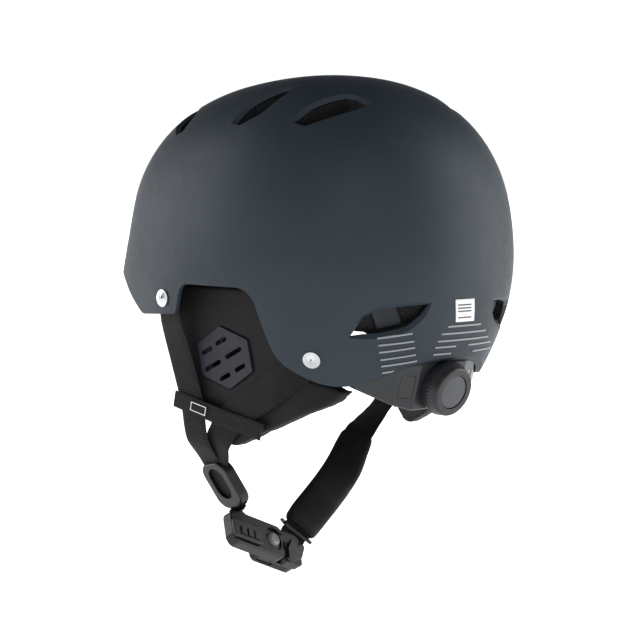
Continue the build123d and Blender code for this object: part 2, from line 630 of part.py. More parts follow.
# ---- chin strap and its sleeve ------------------------------------------------------
SLEEVE = [((13.7, -4.1, -183.3), (-0.15, -0.82, -0.55)), ((3.4, -6.1, -176.3), (-0.20, -0.81, -0.54)),
          ((-11.1, -7.4, -166), (-0.28, -0.80, -0.52)), ((-24.7, -9.9, -156.8), (-0.35, -0.77, -0.52)),
          ((-35.4, -11.5, -147.5), (-0.45, -0.72, -0.52)),
          ((-44, -13.5, -137.5), (-0.52, -0.66, -0.50)), ((-53, -16, -128), (-0.60, -0.60, -0.50))]
SLEEVE_WIDTHS = [25, 26, 26, 26, 26, 24.5, 23]
CHIN_TURN = in_buckle(45.2, 15.8, 0.2)
CHIN_ROUTE = (
    [(tuple(chin_seat.origin), tuple(-BUCKLE.z_dir)), in_buckle(43.8, 12.8, -2.0),
     CHIN_TURN] + SLEEVE
    + [((-69, -21.5, -120), (-0.75, -0.35, -0.50)), ((-84, -27.0, -113.5), (-0.80, -0.2, -0.55)),
       ((-92.8, -29.3, -109.5), (-0.85, -0.1, -0.5)), in_slider("right", -18.5, 0)]
)
chin_strap = ribbon(CHIN_ROUTE, WEBBING_WIDTH, WEBBING_THICKNESS)
chin_strap.part.label = "chin_strap"
export_step(chin_strap.part, "parts/chin_strap.step")

with BuildPart() as chin_pad:
    add(ribbon(SLEEVE, SLEEVE_WIDTHS, 5.0).part)
    add(ribbon(SLEEVE, WEBBING_WIDTH + 0.8, 2.2).part, mode=Mode.SUBTRACT)
chin_pad.part.label = "chin_pad"
export_step(chin_pad.part, "parts/chin_pad.step")

ring_seat = Vector(*SLEEVE[0][0])
ring_along = Vector(*CHIN_TURN[0]) - ring_seat
with BuildPart() as keeper_ring:
    with BuildSketch(Plane(origin=ring_seat + ring_along.normalized() * 2.1,
                           x_dir=Vector(*CHIN_TURN[1]).cross(ring_along),
                           z_dir=ring_along)) as hoop:
        RectangleRounded(27.4, 9.8, 3)
        RectangleRounded(23.4, 6.4, 1.5, mode=Mode.SUBTRACT)
    extrude(hoop.sketch, amount=1.8)
keeper_ring.part.label = "keeper_ring"
export_step(keeper_ring.part, "parts/keeper_ring.step")

# ---- fit cradle ---------------------------------------------------------------------
CRADLE = Plane(origin=CRADLE_ORIGIN, x_dir=(-1, 0, 0), z_dir=(0, cos(DIAL_TILT), -sin(DIAL_TILT)))
# x and the cradle's z, seen from above
PLAN = Plane(origin=CRADLE.origin, x_dir=CRADLE.x_dir, z_dir=-CRADLE.y_dir)
COVER_OUTSIDE = ((-54, -19.5), (-34, -5), (-20, 0), (20, 0), (34, -5), (54, -19.5))
CAVITY_ROOF = ((-56, -22.8), (-36, -8.4), (36, -8.4), (56, -22.8))
SEAM = ((56, -25.4), (34, -11.5), (-34, -11.5), (-56, -25.4))
PLATE_INSIDE = ((54, -26), (34, -13.5), (-34, -13.5), (-54, -26))
FRONT_OUTLINE = ((-54, 5.8), (-34, 12.6), (-22, 15.5), (22, 15.5), (34, 12.6), (54, 5.8),
                 (54, -5.8), (34, -12.6), (22, -15.5), (-22, -15.5), (-34, -12.6), (-54, -5.8))
CAVITY_OUTLINE = ((-56, 3.5), (-34, 10), (34, 10), (56, 3.5), (56, -3.5), (34, -10), (-34, -10),
                  (-56, -3.5))
SCREW_SEATS = ((15, 12.9), (-15, 12.9), (15, -12.9), (-15, -12.9))
SCREW_RADIUS = 1.25
DIAL_SHAFT_RADIUS = 3.0
DETENT_RADIUS = 13.0


def cradle_point(x, y, z):
    return CRADLE.from_local_coords(Vector(x, y, z))


def cradle_slab(plan, outline):
    """A body with one outline seen from above and another seen from behind."""
    with BuildPart() as slab:
        with BuildSketch(PLAN) as top:
            Polygon(*plan, align=None)
        extrude(top.sketch, amount=20, both=True)
        with BuildSketch(CRADLE) as front:
            Polygon(*outline, align=None)
        extrude(front.sketch, amount=40, both=True, mode=Mode.INTERSECT)
    return slab


def panel_plane(side):
    """On the sloping face beside the dial."""
    along = cradle_point(side * 34, 0, -5) - cradle_point(side * 20, 0, 0)
    outward = along.cross(CRADLE.y_dir) * side
    return Plane(origin=cradle_point(side * 27, 0, -2.5), x_dir=along, z_dir=outward)


with BuildPart() as cradle_cover:
    add(cradle_slab(COVER_OUTSIDE + SEAM, FRONT_OUTLINE).part)
    rear_faces = cradle_cover.faces().filter_by(
        lambda face: face.normal_at().dot(CRADLE.z_dir) > 0.5)
    chamfer([e for e in rear_faces.edges() if abs(e.tangent_at(0.5).dot(CRADLE.y_dir)) < 0.9], 0.9)
    add(cradle_slab(CAVITY_ROOF + SEAM, CAVITY_OUTLINE).part, mode=Mode.SUBTRACT)
    across(CRADLE, (0, 0, -5), DIAL_SHAFT_RADIUS + 0.05, 14, CRADLE.z_dir, Mode.SUBTRACT)
    across(CRADLE, (0, 0, 0), DETENT_RADIUS + 0.1, 4, CRADLE.z_dir, Mode.SUBTRACT)
    for x, y in SCREW_SEATS:
        across(CRADLE, (x, y, -9.5), SCREW_RADIUS + 0.05, 8, CRADLE.z_dir, Mode.SUBTRACT)
    for side in SIDES.values():
        with BuildSketch(panel_plane(side)) as recess:
            RectangleRounded(10, 15, 1.5)
        extrude(recess.sketch, amount=-0.8, mode=Mode.SUBTRACT)
cradle_cover.part.label = "cradle_cover"
export_step(cradle_cover.part, "parts/cradle_cover.step")

with BuildPart() as cradle_panels:
    for side in SIDES.values():
        with BuildSketch(panel_plane(side).offset(-0.75)) as inlay:
            RectangleRounded(9.4, 14.4, 1.2)
        extrude(inlay.sketch, amount=0.6)
cradle_panels.part.label = "cradle_panels"
export_step(cradle_panels.part, "parts/cradle_panels.step")

with BuildPart() as cradle_plate:
    lowered = tuple((x, z - 0.05) for x, z in reversed(SEAM))
    add(cradle_slab(lowered + PLATE_INSIDE, FRONT_OUTLINE).part)
    for x, y in SCREW_SEATS:
        across(CRADLE, (x, y, -12.5), SCREW_RADIUS + 0.05, 6, CRADLE.z_dir, Mode.SUBTRACT)
cradle_plate.part.label = "cradle_plate"
export_step(cradle_plate.part, "parts/cradle_plate.step")

with BuildPart() as cradle_screws:
    for x, y in SCREW_SEATS:
        across(CRADLE, (x, y, -10.0), SCREW_RADIUS, 7.2, CRADLE.z_dir)
        across(CRADLE, (x, y, -14.2), 2.4, 1.3, CRADLE.z_dir)
cradle_screws.part.label = "cradle_screws"
export_step(cradle_screws.part, "parts/cradle_screws.step")

with BuildPart() as cradle_pad:
    with BuildSketch(CRADLE.offset(-17.6)) as cushion:
        RectangleRounded(58, 20.5, 7)
    extrude(cushion.sketch, amount=4.0)
    fillet(cradle_pad.faces().sort_by(Axis((0, 0, 0), tuple(CRADLE.z_dir)))[0].edges(), 1.5)
cradle_pad.part.label = "cradle_pad"
export_step(cradle_pad.part, "parts/cradle_pad.step")

HANGER = [((0, 103.6, -58.0), (0, -0.94, -0.34)), ((0, 106.0, -50), (0, -0.95, -0.30)),
          ((0, 108.5, -41), (0, -0.96, -0.25))]
cradle_hanger = ribbon(HANGER, 16, 1.2)
cradle_hanger.part.label = "cradle_hanger"
export_step(cradle_hanger.part, "parts/cradle_hanger.step")

# ---- dial ---------------------------------------------------------------------------
KNURLS = 44
FACE_DEPTH = 2.0
DIAL_LOW, DIAL_WAIST, DIAL_HIGH = 0.5, 6.0, 13.0
with BuildPart() as dial_knob:
    with Locations(CRADLE.offset(DIAL_LOW)):
        Cone(16.4, 17.6, DIAL_WAIST - DIAL_LOW, align=FLOOR)
    with Locations(CRADLE.offset(DIAL_WAIST)):
        Cone(17.6, 15.6, DIAL_HIGH - DIAL_WAIST, align=FLOOR)
    fillet(dial_knob.edges().sort_by(Axis((0, 0, 0), tuple(CRADLE.z_dir)))[-1:], 1.6)
    with BuildSketch(CRADLE.offset(2.5)) as knurls:
        with PolarLocations(17.9, KNURLS):
            Circle(0.85)
    extrude(knurls.sketch, amount=12, mode=Mode.SUBTRACT)
    with Locations(CRADLE.offset(DIAL_HIGH - FACE_DEPTH)):
        Cylinder(11.0, 5, align=FLOOR, mode=Mode.SUBTRACT)
    with Locations(CRADLE.offset(DIAL_LOW - 1)):
        Cylinder(DIAL_SHAFT_RADIUS + 0.1, 8, align=FLOOR, mode=Mode.SUBTRACT)
dial_knob.part.label = "dial_knob"
export_step(dial_knob.part, "parts/dial_knob.step")

with BuildPart() as dial_cap:
    with Locations(CRADLE.offset(DIAL_HIGH - FACE_DEPTH + 0.05)):
        Cylinder(10.7, 1.4, align=FLOOR)
    fillet(dial_cap.edges().sort_by(Axis((0, 0, 0), tuple(CRADLE.z_dir)))[-1:], 0.4)
dial_cap.part.label = "dial_cap"
export_step(dial_cap.part, "parts/dial_cap.step")

with BuildPart() as detent_ring:
    with Locations(CRADLE.offset(-1.9)):
        Cylinder(DETENT_RADIUS, 1.6, align=FLOOR)
    with BuildSketch(CRADLE.offset(-3)) as notches:
        Circle(10.4)
        with PolarLocations(10.4, 36):
            Circle(0.55)
    extrude(notches.sketch, amount=4, mode=Mode.SUBTRACT)
detent_ring.part.label = "detent_ring"
export_step(detent_ring.part, "parts/detent_ring.step")

# pinion teeth and rack teeth: half thickness at the tip, on the pitch line and at the root
TIP_HALF, PITCH_HALF, ROOT_HALF = 0.25, 0.60, 0.95
ADDENDUM, DEDENDUM = 0.8, 1.0
with BuildPart() as dial_shaft:
    with Locations(CRADLE.offset(RACK_FRONT - 0.1)):
        Cylinder(DIAL_SHAFT_RADIUS, -RACK_FRONT + 7.4, align=FLOOR)
    with BuildSketch(CRADLE.offset(RACK_BACK)) as pinion:
        Circle(PITCH_RADIUS - DEDENDUM)
        with PolarLocations(0, PINION_TEETH, start_angle=90):
            Polygon((PITCH_RADIUS - DEDENDUM - 0.5, -ROOT_HALF), (PITCH_RADIUS, -PITCH_HALF),
                    (PITCH_RADIUS + ADDENDUM, -TIP_HALF), (PITCH_RADIUS + ADDENDUM, TIP_HALF),
                    (PITCH_RADIUS, PITCH_HALF), (PITCH_RADIUS - DEDENDUM - 0.5, ROOT_HALF),
                    align=None)
    extrude(pinion.sketch, amount=RACK_FRONT - RACK_BACK)
dial_shaft.part.label = "dial_shaft"
export_step(dial_shaft.part, "parts/dial_shaft.step")

# ---- racks: the left one runs above the pinion, the right one below it --------------
RACK_LENGTH, RACK_INSIDE = 30.0, 4.0
RACK_TEETH = 9
for side_name, side in SIDES.items():
    lift = side                  # +1 above the pinion
    with BuildPart() as rack:
        with BuildSketch(CRADLE.offset(RACK_BACK)) as profile:
            with Locations((-side * (RACK_LENGTH - RACK_INSIDE) / 2, lift * 8.0)):
                Rectangle(RACK_LENGTH + RACK_INSIDE, 3.0)
            for i in range(RACK_TEETH):
                # a gap faces the top pinion tooth, a tooth faces the gap below
                centre = (0.5 - i if side > 0 else i) * TOOTH_PITCH
                root, pitch, tip = (lift * (PITCH_RADIUS + d) for d in (DEDENDUM + 0.1, 0, -ADDENDUM))
                Polygon((centre - ROOT_HALF, root), (centre - PITCH_HALF, pitch),
                        (centre - TIP_HALF, tip), (centre + TIP_HALF, tip),
                        (centre + PITCH_HALF, pitch), (centre + ROOT_HALF, root), align=None)
        extrude(profile.sketch, amount=RACK_FRONT - RACK_BACK)
    rack.part.label = f"{side_name}_rack"
    export_step(rack.part, f"parts/{side_name}_rack.step")

    inward = tuple(-CRADLE.z_dir)
    sideways = tuple(-(CRADLE.z_dir * 0.85 + CRADLE.x_dir * side * -0.53))
    stations = [(tuple(cradle_point(-side * 31, lift * 6, -9.95)), inward),
                (tuple(cradle_point(-side * 35, lift * 5, -10.6)), inward),
                (tuple(cradle_point(-side * 44, lift * 2, -16.6)), sideways),
                (tuple(cradle_point(-side * 56, 0, -24.0)), sideways),
                ((side * 62, 83.5, -68), (-side * 0.60, -0.76, 0.2))]
    stations += [(seat, tuple(-Vector(*outward))) for seat, outward in (
        under_shell(*REAR_RIVET, side, ARM_DEPTH), under_shell(75, -55, side, ARM_DEPTH))]
    with BuildPart() as arm:
        add(ribbon(stations, [5.6, 5.6, 5.6, 5.6, 12, 14, 13], ARM_THICKNESS).part)
        with BuildSketch(side_plane(*REAR_RIVET, side)) as hole:
            Circle(RIVET_SHANK + 0.05)
        extrude(hole.sketch, amount=-16, mode=Mode.SUBTRACT)
    arm.part.label = f"{side_name}_arm"
    export_step(arm.part, f"parts/{side_name}_arm.step")
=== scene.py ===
"""Water helmet: materials, webbing, pads, decals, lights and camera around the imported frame."""
import json
import math

import bmesh
import bpy
from mathutils import Matrix, Vector
from mathutils.bvhtree import BVHTree


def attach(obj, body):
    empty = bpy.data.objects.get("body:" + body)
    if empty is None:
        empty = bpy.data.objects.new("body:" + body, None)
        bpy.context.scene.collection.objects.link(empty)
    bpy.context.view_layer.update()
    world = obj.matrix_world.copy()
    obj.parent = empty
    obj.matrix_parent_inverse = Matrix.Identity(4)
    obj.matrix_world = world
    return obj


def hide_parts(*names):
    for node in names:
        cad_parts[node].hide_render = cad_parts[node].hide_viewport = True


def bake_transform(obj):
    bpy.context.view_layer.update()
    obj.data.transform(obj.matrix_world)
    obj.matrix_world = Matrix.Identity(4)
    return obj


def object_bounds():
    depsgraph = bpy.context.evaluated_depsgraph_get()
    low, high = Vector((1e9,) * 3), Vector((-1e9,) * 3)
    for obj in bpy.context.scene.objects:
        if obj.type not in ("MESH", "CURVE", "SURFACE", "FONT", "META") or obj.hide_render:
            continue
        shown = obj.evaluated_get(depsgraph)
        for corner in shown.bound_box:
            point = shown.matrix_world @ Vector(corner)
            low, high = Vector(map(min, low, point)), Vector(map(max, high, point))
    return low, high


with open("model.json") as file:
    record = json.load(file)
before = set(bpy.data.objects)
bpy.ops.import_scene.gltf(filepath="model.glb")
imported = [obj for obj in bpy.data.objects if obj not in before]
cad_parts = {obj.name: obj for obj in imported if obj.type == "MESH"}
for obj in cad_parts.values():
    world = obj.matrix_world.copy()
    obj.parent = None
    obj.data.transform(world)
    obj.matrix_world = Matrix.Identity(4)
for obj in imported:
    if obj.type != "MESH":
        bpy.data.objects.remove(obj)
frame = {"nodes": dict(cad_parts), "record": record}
cad_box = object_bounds()
nodes = frame["nodes"]
scene = bpy.context.scene

# ---- camera -------------------------------------------------------------------------
VIEW_AZIMUTH = math.radians(47.0)       # the camera stands behind the wearer's left shoulder
VIEW_ELEVATION = math.radians(4.5)
VIEW_DISTANCE = 1.150
VIEW_TARGET = Vector((0.00135, 0.0034, -0.04327))
LENS_MM, SENSOR_MM = 96.74, 36.0


def make_camera():
    back = Vector((
        math.cos(VIEW_ELEVATION) * math.cos(VIEW_AZIMUTH),
        math.cos(VIEW_ELEVATION) * math.sin(VIEW_AZIMUTH),
        math.sin(VIEW_ELEVATION),
    ))
    right = Vector((0, 0, 1)).cross(back).normalized()
    up = back.cross(right)
    data = bpy.data.cameras.new("camera")
    data.lens = LENS_MM
    data.sensor_width = SENSOR_MM
    camera = bpy.data.objects.new("camera", data)
    turn = Matrix((right, up, back)).transposed().to_4x4()
    camera.matrix_world = Matrix.Translation(VIEW_TARGET + back * VIEW_DISTANCE) @ turn
    scene.collection.objects.link(camera)
    scene.camera = camera
    return back, right


VIEW_BACK, VIEW_RIGHT = make_camera()


# ---- node helpers -------------------------------------------------------------------
LOW_SPECULAR = 0.22             # matt, dark surfaces reflect little of the pale studio
PATCH_RANGE = (0.3, 0.7)        # the part of a noise's range that colours spread over


class Nodes:
    """A material's node tree, with short calls for the nodes this script uses."""

    def __init__(self, name, colour, rough, **shader):
        self.material = bpy.data.materials.new(name)
        self.material.use_nodes = True
        self.tree = self.material.node_tree
        self.shader = self.tree.nodes["Principled BSDF"]
        self.set("Base Color", (*colour, 1))
        self.set("Roughness", rough)
        self.set("Specular IOR Level", LOW_SPECULAR)
        for socket, value in shader.items():
            self.set(socket.replace("_", " "), value)

    def set(self, socket, value):
        self.shader.inputs[socket].default_value = value

    def add(self, kind, values=None, **attributes):
        node = self.tree.nodes.new(kind)
        for key, value in attributes.items():
            setattr(node, key, value)
        for key, value in (values or {}).items():
            node.inputs[key].default_value = value
        return node

    def link(self, source, target):
        self.tree.links.new(source, target)

    def place(self, uv=False):
        coordinates = self.add("ShaderNodeTexCoord")
        return coordinates.outputs["UV" if uv else "Object"]

    def noise(self, scale, detail=3.0, rough=0.5):
        node = self.add("ShaderNodeTexNoise", {
            "Scale": scale, "Detail": detail, "Roughness": rough})
        self.link(self.place(), node.inputs["Vector"])
        return node.outputs["Fac"]

    def cells(self, scale, feature="F1"):
        node = self.add("ShaderNodeTexVoronoi", {"Scale": scale}, feature=feature)
        self.link(self.place(), node.inputs["Vector"])
        return node.outputs["Distance"]

    def math(self, operation, a, b=0.0):
        node = self.add("ShaderNodeMath", operation=operation)
        for socket, value in zip(node.inputs, (a, b)):
            if isinstance(value, (int, float)):
                socket.default_value = value
            else:
                self.link(value, socket)
        return node.outputs[0]

    def span(self, factor, low, high, start=0.0, end=1.0):
        """factor from start to end becomes low to high."""
        node = self.add("ShaderNodeMapRange", {
            "From Min": start, "From Max": end, "To Min": low, "To Max": high})
        self.link(factor, node.inputs["Value"])
        return node.outputs["Result"]

    def mix(self, factor, dark, light, start=0.0, end=1.0):
        node = self.add("ShaderNodeValToRGB")
        node.color_ramp.elements[0].position = start
        node.color_ramp.elements[0].color = (*dark, 1)
        node.color_ramp.elements[1].position = end
        node.color_ramp.elements[1].color = (*light, 1)
        self.link(factor, node.inputs["Fac"])
        return node.outputs["Color"]

    def colour(self, output):
        self.link(output, self.shader.inputs["Base Color"])

    def rough(self, output):
        self.link(output, self.shader.inputs["Roughness"])

    def bump(self, height, strength, distance, after=None):
        node = self.add("ShaderNodeBump", {"Strength": strength, "Distance": distance})
        self.link(height, node.inputs["Height"])
        if after is not None:
            self.link(after, node.inputs["Normal"])
        self.link(node.outputs["Normal"], self.shader.inputs["Normal"])
        return node.outputs["Normal"]


def shade(colour, factor):
    return tuple(min(c * factor, 1.0) for c in colour)


# ---- materials ----------------------------------------------------------------------
def moulded(name, colour, rough, grain=900, bump=0.10, spread=0.25, **shader):
    """Moulded plastic with a fine texture, slightly uneven gloss and colour."""
    m = Nodes(name, colour, rough, **shader)
    broad = m.noise(18, 4, 0.6)
    m.colour(m.mix(broad, shade(colour, 1 - spread), shade(colour, 1 + spread), *PATCH_RANGE))
    fine = m.noise(grain, 2, 0.5)
    m.rough(m.span(m.noise(60, 3), rough - 0.06, rough + 0.07, *PATCH_RANGE))
    m.bump(fine, bump, 0.0004)
    return m.material


def shell_coating():
    """Matt soft-touch lacquer over the hard shell: fine speckle, faint handling marks."""
    base = (0.0265, 0.0365, 0.0465)
    m = Nodes("shell_coating", base, 0.50, Specular_IOR_Level=0.20)
    broad = m.noise(9, 5, 0.6)
    m.colour(m.mix(broad, shade(base, 0.86), shade(base, 1.14), 0.32, 0.68))
    marks = m.noise(150, 6, 0.7)
    m.rough(m.span(marks, 0.46, 0.55, 0.35, 0.65))
    speckle = m.bump(m.noise(2600, 1, 0.4), 0.16, 0.00020)
    m.bump(m.noise(420, 3, 0.5), 0.05, 0.0004, after=speckle)
    return m.material


def bead_foam():
    """Expanded foam: beads a few millimetres across, pressed together."""
    base = (0.012, 0.012, 0.013)
    m = Nodes("liner_foam", base, 0.72)
    beads = m.cells(330, "DISTANCE_TO_EDGE")
    m.colour(m.mix(beads, shade(base, 0.55), shade(base, 1.35), 0.0, 0.16))
    m.bump(m.span(beads, 0, 1, 0, 0.12), 0.35, 0.0006)
    return m.material


def soft_foam(name, base):
    """Closed-cell ear foam with a skin that shows small pores."""
    m = Nodes(name, base, 0.62, Sheen_Weight=0.02, Sheen_Roughness=0.4)
    m.colour(m.mix(m.noise(40, 5, 0.6), shade(base, 0.8), shade(base, 1.25), *PATCH_RANGE))
    pores = m.bump(m.cells(1500), 0.18, 0.00025)
    m.bump(m.noise(90, 4), 0.10, 0.0010, after=pores)
    return m.material


def brushed_fabric(name, base):
    """Short-pile lining fabric with a soft nap."""
    m = Nodes(name, base, 0.9, Sheen_Weight=0.5, Sheen_Roughness=0.45)
    m.colour(m.mix(m.noise(70, 5, 0.7), shade(base, 0.7), shade(base, 1.4), *PATCH_RANGE))
    nap = m.bump(m.noise(1700, 3, 0.7), 0.5, 0.0004)
    m.bump(m.noise(120, 4), 0.15, 0.0012, after=nap)
    return m.material


WAVE_LENGTH = 0.011             # of the ribs' sway across a strap
CROSS_THREADS = 3.1             # threads across for each rib along
RIB_SHARE = 0.82                # of the weave's height, and the rest is cross threads
# painted shade in the weave's gaps and painted highlight on its crests, as shares of the base
# colour
GAP_PAINTED_SHADE, CREST_PAINTED_HIGHLIGHT = 0.35, 3.2


def woven(name, base, thread=0.0017, slope=0.0, strength=0.7, wave=0.0005):
    """Webbing: raised ribs that run across the strap in a slight wave, from the strip's lengths,
    with painted shade in the gaps and a painted highlight on the crests.
    """
    m = Nodes(name, base, 0.72, Sheen_Weight=0.04, Sheen_Roughness=0.4)
    split = m.add("ShaderNodeSeparateXYZ")
    m.link(m.place(uv=True), split.inputs[0])
    turn = 2 * math.pi / thread
    along, over = split.outputs["X"], split.outputs["Y"]
    slant = m.math("ADD", along, m.math("MULTIPLY", over, slope))
    swing = m.math("SINE", m.math("MULTIPLY", over, 2 * math.pi / WAVE_LENGTH))
    sway = m.math("MULTIPLY", swing, wave)
    ribs = m.math("SINE", m.math("MULTIPLY", m.math("ADD", slant, sway), turn))
    cross = m.math("SINE", m.math("MULTIPLY", over, turn * CROSS_THREADS))
    weave = m.math("ADD", m.math("MULTIPLY", ribs, RIB_SHARE),
                   m.math("MULTIPLY", cross, 1 - RIB_SHARE))
    height = m.span(weave, 0, 1, -1, 1)
    fuzz = m.noise(900, 3, 0.6)
    # the colour follows the weave's height: painted shade in the gaps, painted highlight on the
    # crests
    m.colour(m.mix(m.math("MULTIPLY", height, m.span(fuzz, 0.7, 1.1)),
                   shade(base, GAP_PAINTED_SHADE), shade(base, CREST_PAINTED_HIGHLIGHT), 0.25, 0.85))
    m.bump(height, strength, 0.0004)
    return m.material


def neoprene(name, base):
    """Sleeve of smooth rubber with a very fine grain."""
    m = Nodes(name, base, 0.5, Sheen_Weight=0.2, Sheen_Roughness=0.35)
    m.colour(m.mix(m.noise(45, 5, 0.65), shade(base, 0.7), shade(base, 1.4), *PATCH_RANGE))
    m.rough(m.span(m.noise(60, 4), 0.42, 0.60, *PATCH_RANGE))
    grain = m.bump(m.noise(1300, 2, 0.5), 0.22, 0.00025)
    m.bump(m.noise(55, 4), 0.25, 0.0014, after=grain)
    return m.material


def metal(name, base, rough):
    m = Nodes(name, base, rough, Metallic=1.0, Specular_IOR_Level=0.5)
    m.colour(m.mix(m.noise(60, 3), shade(base, 0.85), base, *PATCH_RANGE))
    m.rough(m.span(m.noise(500, 4), rough * 0.7, rough * 1.4, *PATCH_RANGE))
    m.bump(m.noise(1200, 2), 0.04, 0.0002)
    return m.material


MATERIALS = {
    "shell_coating": shell_coating(),
    "liner_foam": bead_foam(),
    "comfort_fabric": brushed_fabric("comfort_fabric", (0.014, 0.014, 0.016)),
    "hook_tape": brushed_fabric("hook_tape", (0.010, 0.010, 0.011)),
    "vent_plastic": moulded("vent_plastic", (0.022, 0.026, 0.031), 0.55),
    "rivet_metal": metal("rivet_metal", (0.52, 0.53, 0.55), 0.12),
    "ear_foam": soft_foam("ear_foam", (0.0062, 0.0060, 0.0072)),
    "ear_insert": moulded("ear_insert", (0.024, 0.025, 0.034), 0.50,
                          grain=1500, bump=0.16, spread=0.12),
    "webbing": woven("webbing", (0.0040, 0.0040, 0.0045)),
    "elastic": woven("elastic", (0.0045, 0.0047, 0.0052), thread=0.0008, wave=0.0, strength=0.4),
    "tag_fabric": woven("tag_fabric", (0.0060, 0.0060, 0.0066),
                        thread=0.0006, slope=1.0, strength=0.25),
    "buckle_plastic": moulded("buckle_plastic", (0.0085, 0.0090, 0.0100), 0.34,
                              Specular_IOR_Level=0.35),
    "lever_plastic": moulded("lever_plastic", (0.016, 0.017, 0.019), 0.36, Specular_IOR_Level=0.35),
    "button_plastic": moulded("button_plastic", (0.22, 0.23, 0.24), 0.22, bump=0.03,
                              Coat_Weight=0.6, Coat_Roughness=0.1, Transmission_Weight=0.15),
    "steel": metal("steel", (0.55, 0.55, 0.56), 0.28),
    "sleeve_neoprene": neoprene("sleeve_neoprene", (0.0085, 0.0085, 0.0095)),
    "cradle_plastic": moulded("cradle_plastic", (0.026, 0.028, 0.031), 0.34,
                              Specular_IOR_Level=0.35),
    "panel_plastic": moulded("panel_plastic", (0.012, 0.013, 0.015), 0.2, Coat_Weight=0.5),
    "dial_plastic": moulded("dial_plastic", (0.020, 0.021, 0.023), 0.40, Specular_IOR_Level=0.35),
    "dial_cap_plastic": moulded("dial_cap_plastic", (0.055, 0.058, 0.064), 0.30, Coat_Weight=0.3),
    "gear_plastic": moulded("gear_plastic", (0.05, 0.05, 0.055), 0.4),
    "arm_plastic": moulded("arm_plastic", (0.016, 0.017, 0.019), 0.42),
}
DECAL_GREY = moulded("decal_grey", (0.28, 0.29, 0.30), 0.5, spread=0.1, bump=0.04)
LABEL_WHITE = moulded("label_white", (0.80, 0.80, 0.79), 0.55, spread=0.04, bump=0.05)
LABEL_INK = moulded("label_ink", (0.12, 0.12, 0.13), 0.6, spread=0.1, bump=0.03)
THREAD = moulded("thread", (0.05, 0.05, 0.055), 0.7, grain=3000, bump=0.3)


CAD_CREASE, PIECE_CREASE = math.radians(28), math.radians(40)


def paint_cad_nodes():
    """Every CAD node takes its slot's material and smooth shading with crisp edges."""
    slot_of = {part["node"]: part["material_slot"] for part in frame["record"]["subparts"]}
    for name, node in nodes.items():
        mesh = node.data
        mesh.materials.clear()
        mesh.materials.append(MATERIALS[slot_of[name]])
        mesh.shade_smooth()
        mesh.set_sharp_from_angle(angle=CAD_CREASE)


paint_cad_nodes()


# ---- mesh helpers -------------------------------------------------------------------
def new_object(name, points, faces, material, uvs=None):
    mesh = bpy.data.meshes.new(name)
    mesh.from_pydata([tuple(p) for p in points], [], faces)
    if uvs is not None:
        layer = mesh.uv_layers.new(name="UVMap")
        for loop in mesh.loops:
            layer.data[loop.index].uv = uvs[loop.vertex_index]
    mesh.materials.append(material)
    mesh.shade_smooth()
    mesh.set_sharp_from_angle(angle=PIECE_CREASE)
    piece = bpy.data.objects.new(name, mesh)
    scene.collection.objects.link(piece)
    return piece


def smooth_path(stations, step):
    """Evenly spaced (centre, outward, place from 0 to 1) along a Catmull-Rom curve."""
    centres = [Vector(c) for c, _ in stations]
    outs = [Vector(o).normalized() for _, o in stations]
    fine = []
    for i in range(len(stations) - 1):
        p = [centres[min(max(j, 0), len(centres) - 1)] for j in (i - 1, i, i + 1, i + 2)]
        length = (p[2] - p[1]).length
        # end tangents are limited by the nearer span, so that short spans don't overshoot
        before, after = (p[1] - p[0]).length or length, (p[3] - p[2]).length or length
        start = (p[2] - p[0]).normalized() * min(length, 2 * before)
        end = (p[3] - p[1]).normalized() * min(length, 2 * after)
        count = max(int(length / step), 2)
        for k in range(count + (i == len(stations) - 2)):
            t = k / count
            t2, t3 = t * t, t * t * t
            place = (p[1] * (2 * t3 - 3 * t2 + 1) + start * (t3 - 2 * t2 + t)
                     + p[2] * (3 * t2 - 2 * t3) + end * (t3 - t2))
            ease = 3 * t2 - 2 * t3
            fine.append((place, outs[i].lerp(outs[i + 1], ease).normalized(),
                         (i + t) / (len(stations) - 1)))
    return fine


def neighbours(path, i):
    """The path's centres before and after place i, which is its own neighbour at an end."""
    return path[max(i - 1, 0)][0], path[min(i + 1, len(path) - 1)][0]


def crosswise(path):
    """At each place of a path: its centre, the directions across and outward, its place."""
    for i, (centre, outward, place) in enumerate(path):
        behind, ahead = neighbours(path, i)
        along = (ahead - behind).normalized()
        over = outward.cross(along).normalized()
        yield centre, over, along.cross(over).normalized(), place


STRIP_STEP = 0.002
STRIP_CELLS = 8                 # across the width
STRIP_EDGE = 0.35               # thickness at the edges, as a share of the full thickness


def strip(name, stations, width, thickness, material):
    """A closed strip with rounded edges. width may be a function of the place from 0 to 1."""
    path = smooth_path(stations, STRIP_STEP)
    top = [(-1 + 2 * k / STRIP_CELLS, 1.0) for k in range(STRIP_CELLS + 1)]
    top[0], top[-1] = (-1.0, STRIP_EDGE), (1.0, STRIP_EDGE)
    outline = top + [(v, -h) for v, h in reversed(top)]
    points, uvs, faces = [], [], []
    run = 0.0
    for i, (centre, over, out, place) in enumerate(crosswise(path)):
        run += (centre - neighbours(path, i)[0]).length
        w = (width(place) if callable(width) else width) / 2
        for v, h in outline:
            points.append(centre + over * (w * v) + out * (thickness / 2 * h))
            uvs.append((run, w * v))
    size = len(outline)
    for i in range(len(path) - 1):
        for k in range(size):
            a, b = i * size + k, i * size + (k + 1) % size
            faces.append((a, b, b + size, a + size))
    faces.append(tuple(reversed(range(size))))
    faces.append(tuple(range((len(path) - 1) * size, len(path) * size)))
    piece = new_object(name, points, faces, material, uvs)
    fix_normals(piece)
    return piece


def fix_normals(piece):
    work = bmesh.new()
    work.from_mesh(piece.data)
    bmesh.ops.recalc_face_normals(work, faces=work.faces)
    work.to_mesh(piece.data)
    work.free()


def apply_modifiers(piece):
    graph = bpy.context.evaluated_depsgraph_get()
    mesh = bpy.data.meshes.new_from_object(piece.evaluated_get(graph))
    piece.modifiers.clear()
    old = piece.data
    piece.data = mesh
    bpy.data.meshes.remove(old)


def repaint(piece, material):
    piece.data.materials.clear()
    piece.data.materials.append(material)


